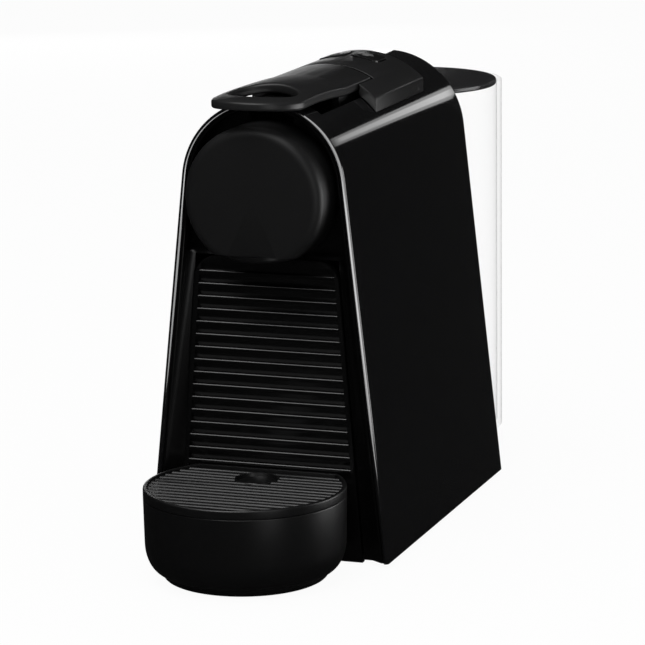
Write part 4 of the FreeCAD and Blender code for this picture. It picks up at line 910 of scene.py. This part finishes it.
def bent_block(name, inner, outer, half, front, rear):
    """A block bent to the arch, cut off upright at both sides."""
    middle = arch_middle()
    reach = math.asin(half / inner) + 0.1  # in radians, a little past the sides
    ends = [(inner, front), (outer, front), (outer, rear), (inner, rear), (inner, front)]
    piece = draw(name, [(r * math.sin(reach), y, middle + r * math.cos(reach)) for r, y in ends])
    fill()
    bpy.ops.mesh.spin(steps=40, angle=2 * reach, center=(0, 0, middle), axis=BACK)
    tidy_mesh()
    trim_sides(-half, half)
    return piece


class PodConsole(bpy.types.Operator):
    """Models the console behind the lever, with the lever's notch and two button wells, and the hinge pin"""
    bl_idname = "pod.console"
    bl_label = "Console"

    def execute(self, context):
        sizes = context.scene.pod_console
        front, rear, half = CONSOLE_LOW.y, CONSOLE_HIGH.y, CONSOLE_HIGH.x
        middle = arch_middle()
        crown = CONSOLE_HIGH.z - middle
        gap, top = sizes.gap, 2 * CONSOLE_HIGH.z
        console = bent_block("console", crown - sizes.rise, crown, half, front, rear)
        for key, *_ in BUTTONS:
            low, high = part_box(key)
            well = rounded_block("well", (low.x - gap, low.y - gap, middle),
                                 (high.x + gap, high.y + gap, top), sizes.button_corner + gap)
            carve(console, well)
        pin_low, pin_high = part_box("hinge_pin")
        pivot_y, pivot_z = (pin_low.y + pin_high.y) / 2, (pin_low.z + pin_high.z) / 2
        notch = LEVER_HIGH.x + gap
        carve(console, block("notch", (-notch, front - MM, middle), (notch, pivot_y, top)))
        sweep = open_piece("sweep", bpy.ops.mesh.primitive_uv_sphere_add, segments=64, ring_count=48,
                           radius=1, location=(0, pivot_y, pivot_z),
                           scale=(sizes.sweep_wide, sizes.sweep, sizes.sweep))
        trim_sides(-notch, notch)
        carve(console, sweep)
        arm_low, arm_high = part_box("lever_arm")
        cavity = drum("cavity", (0, pivot_y - MM, middle), BACK, crown - sizes.skin, sizes.cavity + MM, 128)
        trim_sides(arm_low.x - gap, arm_high.x + gap)
        carve(console, cavity)
        reach, pin = sizes.pin_reach, (pin_high.z - pin_low.z) / 2
        start = (-reach, pivot_y, pivot_z)
        carve(console, drum("hole", start, RIGHT, pin + gap / 10, 2 * reach, 32))
        hinge = drum("pin", start, RIGHT, pin, 2 * reach, 48)
        soften(hinge, gap, 2)
        finish_piece(hinge, "machine", "steel", "steel", "hinge_pin")
        soften(console, sizes.edge_round, 3, 45, use_clamp_overlap=False)
        finish_piece(console, "machine", "satin_black", "soft_black", "top_console", angle=40)
        return {"FINISHED"}


def cup_sign(name, place, low, tall):
    """A cup from the side, as an upright prism: a bowl that narrows to its foot and a ring for a handle."""
    wide = bpy.context.scene.pod_console.sign_width
    x, y = place.x - wide / 4, place.y - tall / 2
    outline = [(-wide / 2, tall), (wide / 2, tall), (wide / 3, 0), (-wide / 3, 0), (-wide / 2, tall)]
    cup = draw(name, [(x + across, y + up, low) for across, up in outline])
    merge_all()
    round_points(lambda v: near(v.co.y, y), wide / 5, 4)
    fill()
    push((0, 0, 3 * MM))
    handle_x, handle_y = x + wide / 2, y + tall * 0.6
    ring = drum("ring", (handle_x, handle_y, low), UP, wide / 4, 3 * MM, 32)
    carve(ring, drum("eye", (handle_x, handle_y, low - MM), UP, wide / 7, 5 * MM, 32))
    carve(cup, ring, "UNION")
    return cup


# Each button's solid, its body and its cup's share of the signs' height
BUTTONS = (("espresso_button", "espresso_key", 0.7), ("lungo_button", "lungo_key", 1.1))


class PodButtons(bpy.types.Operator):
    """Models the two buttons with soft crowns and their cup signs, a small cup and a tall one"""
    bl_idname = "pod.buttons"
    bl_label = "Buttons"

    def execute(self, context):
        sizes = context.scene.pod_console
        middle = arch_middle()
        crown = CONSOLE_HIGH.z + sizes.button_rise - middle
        for key, body, share in BUTTONS:
            low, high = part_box(key)
            button = rounded_block(key + "_cap", low, (high.x, high.y, high.z + MM), sizes.button_corner)
            dome = drum("dome", (0, low.y - MM, middle), BACK, crown, high.y - low.y + 2 * MM, 256)
            carve(button, dome, "INTERSECT")
            soften(button, sizes.edge_round, 3, 50)
            finish_piece(button, body, "button_plastic", "button_black", key)
            sign = cup_sign(key + "_sign", (low + high) / 2, high.z - 2 * MM, share * sizes.sign)
            skin = drum("skin", (0, low.y, middle), BACK, crown + sizes.sign_rise, high.y - low.y, 256)
            carve(sign, skin, "INTERSECT")
            finish_piece(sign, body, "button_plastic", "sign_grey")
        return {"FINISHED"}


def tank_block(name, inset, low, high):
    """An upright drum with a flat front and soft corners, as the tank's plan."""
    sizes = bpy.context.scene.pod_tank
    front = TANK_LOW.y + inset
    piece = drum(name, (0, sizes.middle, low), UP, sizes.radius - inset, high - low, 192)
    trim((0, front, 0), FRONT)

    def corner(edge):
        a, b = (v.co for v in edge.verts)
        return abs(a.z - b.z) > MM and near(a.y, front) and near(b.y, front)

    round_edges(corner, sizes.front_corner - inset, 6)
    tidy_mesh()
    return piece


class PodTank(bpy.types.Operator):
    """Models the clear round vessel with its flat front, and the lid that drops into its mouth"""
    bl_idname = "pod.tank"
    bl_label = "Water tank"

    def execute(self, context):
        sizes = context.scene.pod_tank
        low, top = TANK_LOW.z, LID_HIGH.z - sizes.lid_stand
        tank = tank_block("tank", 0, low, top)
        select("FACE", lambda f: f.normal.z > 0.9)
        bpy.ops.mesh.delete(type="FACE")
        modify(tank, "SOLIDIFY", thickness=sizes.wall, offset=-1, use_even_offset=True)
        valve_low, valve_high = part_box("tank_valve")
        valve_y = (valve_low.y + valve_high.y) / 2
        carve(tank, drum("hole", (0, valve_y, low - MM), UP, sizes.valve_hole, 3 * sizes.wall, 64))
        soften(tank, sizes.edge_round / 2, 3, 50)
        finish_piece(tank, "tank", "clear_plastic", "clear_plastic", "water_tank")
        lid = tank_block("lid", sizes.wall + sizes.lid_gap, LID_HIGH.z - sizes.lid_thick, LID_HIGH.z)
        soften(lid, sizes.edge_round, 4, 50)
        finish_piece(lid, "lid", "matte_black", "smoke", "tank_lid")
        return {"FINISHED"}


# Stage

FLOOR_RADIUS, FLOOR_DROP = 6, 0.0002
TENT_RADIUS = 5
LIGHT_AIM = Vector((0, 0, 0.12))
CAMERA_AIM = Vector((-4.802, -4.5, 86.528)) * MM
EVERYTHING, GLOSS = None, ()
LAMPS = (
    # name, azimuth, elevation, reach, width, height, radiance, tilt, and what it lights: everything,
    # all gloss, or the gloss of the named pieces alone; angles in degrees, sizes in metres
    ("back_right_strip", 72.7, 14.05, 1.8, 0.6, 0.165, 1.1, -35.6, EVERYTHING),
    ("back_right_core", 72.7, 14.05, 1.79, 0.55, 0.08, 1.1, -35.6, EVERYTHING),
    ("back_left_panel", 116, 3, 1.8, 0.6, 0.3, 2.2, 0, EVERYTHING),
    ("front_right_card", -53, 8, 0.5, 0.16, 0.36, 1.3, 0, EVERYTHING),
    ("right_card", 20, 0, 0.43, 0.3, 0.235, 4.0, 0, GLOSS),
    ("edge_card", -35, 20, 0.56, 0.5, 0.72, 6.0, 0, ("shell",)),
    ("lip_card", -75.7, 20, 0.6, 0.42, 0.76, 6.0, 0, ("shell",)),
    ("near_card", -75.7, -8, 0.34, 0.34, 0.14, 6.5, 0, ("shell",)),
    ("rib_card", -105, 50, 1.2, 0.9, 0.9, 2.8, 0, ("ribbed_panel", "grid")),
    ("front_top_box", -90, 58, 1.5, 0.9, 1.1, 3.2, 0, EVERYTHING),
    ("top_box", 190, 68, 1.5, 0.7, 0.5, 3.0, 0, EVERYTHING),
)


def lamp(name, azimuth, elevation, reach, wide, high, radiance, tilt, lit):
    """A soft panel of light that faces the machine; azimuth turns from the right to the back."""
    a, e = math.radians(azimuth), math.radians(elevation)
    away = Vector((math.cos(e) * math.cos(a), math.cos(e) * math.sin(a), math.sin(e)))
    data = bpy.data.lights.new(name, "AREA")
    data.shape = "RECTANGLE"
    data.size, data.size_y = wide, high
    data.energy = radiance * math.pi * wide * high
    panel = bpy.data.objects.new(name, data)
    bpy.context.scene.collection.objects.link(panel)
    panel.location = LIGHT_AIM + away * reach
    turned = away.to_track_quat("Z", "Y") @ Quaternion(UP, math.radians(tilt))
    panel.rotation_euler = turned.to_euler()
    panel.visible_camera = False
    panel.visible_diffuse = lit is EVERYTHING
    if lit:
        pieces = bpy.data.collections.new(name)
        for piece in lit:
            pieces.objects.link(bpy.data.objects[piece])
        panel.light_linking.receiver_collection = pieces


def bare_tree(owner):
    """The emptied node tree of a new world or material."""
    owner.use_nodes = True
    owner.node_tree.nodes.clear()
    return owner.node_tree


def shown_rays(tree):
    """One for rays from the camera, from gloss and through clear pieces."""
    rays = node_in(tree, "LightPath").outputs
    seen = both(tree, "MAXIMUM", rays["Is Camera Ray"], rays["Is Glossy Ray"])
    return both(tree, "MAXIMUM", seen, rays["Is Transmission Ray"])


def end_with(tree, kind, share, first, second):
    """Ends a tree with a mix of two shaders."""
    blend, out = node_in(tree, "MixShader"), node_in(tree, kind)
    for source, place in zip((share, first.outputs[0], second.outputs[0]), blend.inputs):
        tree.links.new(source, place)
    feed(tree, out, Surface=blend.outputs[0])


def studio_world(ambient):
    """White where it is seen and an even level of light for the rest."""
    world = bpy.data.worlds.new("studio")
    bpy.context.scene.world = world
    tree = bare_tree(world)
    even = node_in(tree, "Background", Color=(ambient, ambient, ambient, 1))
    white = node_in(tree, "Background", Color=(1, 1, 1, 1))
    end_with(tree, "OutputWorld", shown_rays(tree), even, white)


def floor_finish(share):
    """A pale floor that is white where it is seen and keeps a soft shadow."""
    made = bpy.data.materials.new("pale_floor")
    tree = bare_tree(made)
    paint, glow = node_in(tree, "BsdfDiffuse", Color=(0.85, 0.85, 0.85, 1)), node_in(tree, "Emission")
    end_with(tree, "OutputMaterial", both(tree, "MULTIPLY", shown_rays(tree), share), paint, glow)
    return made


def dark_tent():
    """A dim tent, as used round black gloss: only gloss sees it, dark at the horizon and paler overhead."""
    tent = open_piece("dark_tent", bpy.ops.mesh.primitive_uv_sphere_add, segments=48, ring_count=24,
                      radius=TENT_RADIUS)
    trim((0, 0, -0.0001), DOWN)
    bpy.ops.mesh.flip_normals()
    bpy.ops.object.mode_set(mode="OBJECT")
    tent.visible_camera = tent.visible_diffuse = tent.visible_transmission = tent.visible_shadow = False
    made = bpy.data.materials.new("tent_cloth")
    tree = bare_tree(made)
    place, parts = node_in(tree, "TexCoord"), node_in(tree, "SeparateXYZ")
    height, ramp = node_in(tree, "MapRange", From_Max=TENT_RADIUS), node_in(tree, "ValToRGB")
    horizon, overhead = ramp.color_ramp.elements
    horizon.position = 0.4
    horizon.color = (0.014, 0.014, 0.014, 1)
    overhead.color = (0.12, 0.12, 0.12, 1)
    glow, out = node_in(tree, "Emission"), node_in(tree, "OutputMaterial")
    feed(tree, parts, Vector=place.outputs["Object"])
    feed(tree, height, Value=parts.outputs["Z"])
    feed(tree, ramp, Fac=height.outputs["Result"])
    feed(tree, glow, Color=ramp.outputs["Color"])
    feed(tree, out, Surface=glow.outputs[0])
    tent.data.materials.append(made)


class PodSetStage(bpy.types.Operator):
    """Sets up the floor, the lamps, the surround and the camera"""
    bl_idname = "pod.stage"
    bl_label = "Stage"

    def execute(self, context):
        stage = context.scene.pod_stage
        context.scene.view_settings.view_transform = "Standard"
        studio_world(stage.ambient)
        floor = open_piece("floor", bpy.ops.mesh.primitive_circle_add, vertices=96, radius=FLOOR_RADIUS,
                           fill_type="NGON", location=(0, 0, -FLOOR_DROP))
        bpy.ops.object.mode_set(mode="OBJECT")
        floor.data.materials.append(floor_finish(stage.floor_share))
        dark_tent()
        for row in LAMPS:
            lamp(*row)
        a, e = stage.azimuth, stage.elevation
        away = Vector((math.cos(e) * math.sin(a), -math.cos(e) * math.cos(a), math.sin(e)))
        level = Vector((math.cos(a), math.sin(a), 0))
        right = level * math.cos(stage.roll) + away.cross(level) * math.sin(stage.roll)
        data = bpy.data.cameras.new("camera")
        data.lens = stage.lens
        data.sensor_width = 36
        data.clip_start, data.clip_end = 0.05, 50
        camera = bpy.data.objects.new("camera", data)
        context.scene.collection.objects.link(camera)
        turned = Matrix((right, away.cross(right), away)).transposed().to_4x4()
        camera.matrix_world = Matrix.Translation(CAMERA_AIM + away * stage.reach) @ turned
        context.scene.camera = camera
        return {"FINISHED"}


STEPS = (PodFinish, PodShell, PodFascia, PodHead, PodRibs, PodTray, PodGrid, PodLever, PodConsole, PodButtons,
         PodTank, PodSetStage)


class POD_PT_steps(bpy.types.Panel):
    """Lists the sizes and the steps"""
    bl_label = "Pod machine"
    bl_idname = "POD_PT_steps"
    bl_space_type = "VIEW_3D"
    bl_region_type = "UI"
    bl_category = "Pod machine"

    def draw(self, context):
        for key, group in GROUPS.items():
            part = self.layout.box()
            part.label(text=group.bl_rna.description)
            for name in group.__annotations__:
                part.prop(getattr(context.scene, key), name)
        for step in STEPS:
            self.layout.operator(step.bl_idname)


def register():
    for group in (*GROUPS.values(), *STEPS, POD_PT_steps):
        bpy.utils.register_class(group)
    for key, group in GROUPS.items():
        setattr(bpy.types.Scene, key, PointerProperty(type=group))


def unregister():
    for key in GROUPS:
        delattr(bpy.types.Scene, key)
    for group in (POD_PT_steps, *reversed(STEPS), *reversed(list(GROUPS.values()))):
        bpy.utils.unregister_class(group)


def main():
    register()
    for step in STEPS:
        area, name = step.bl_idname.split(".")
        getattr(getattr(bpy.ops, area), name)()


if __name__ == "__main__":
    main()
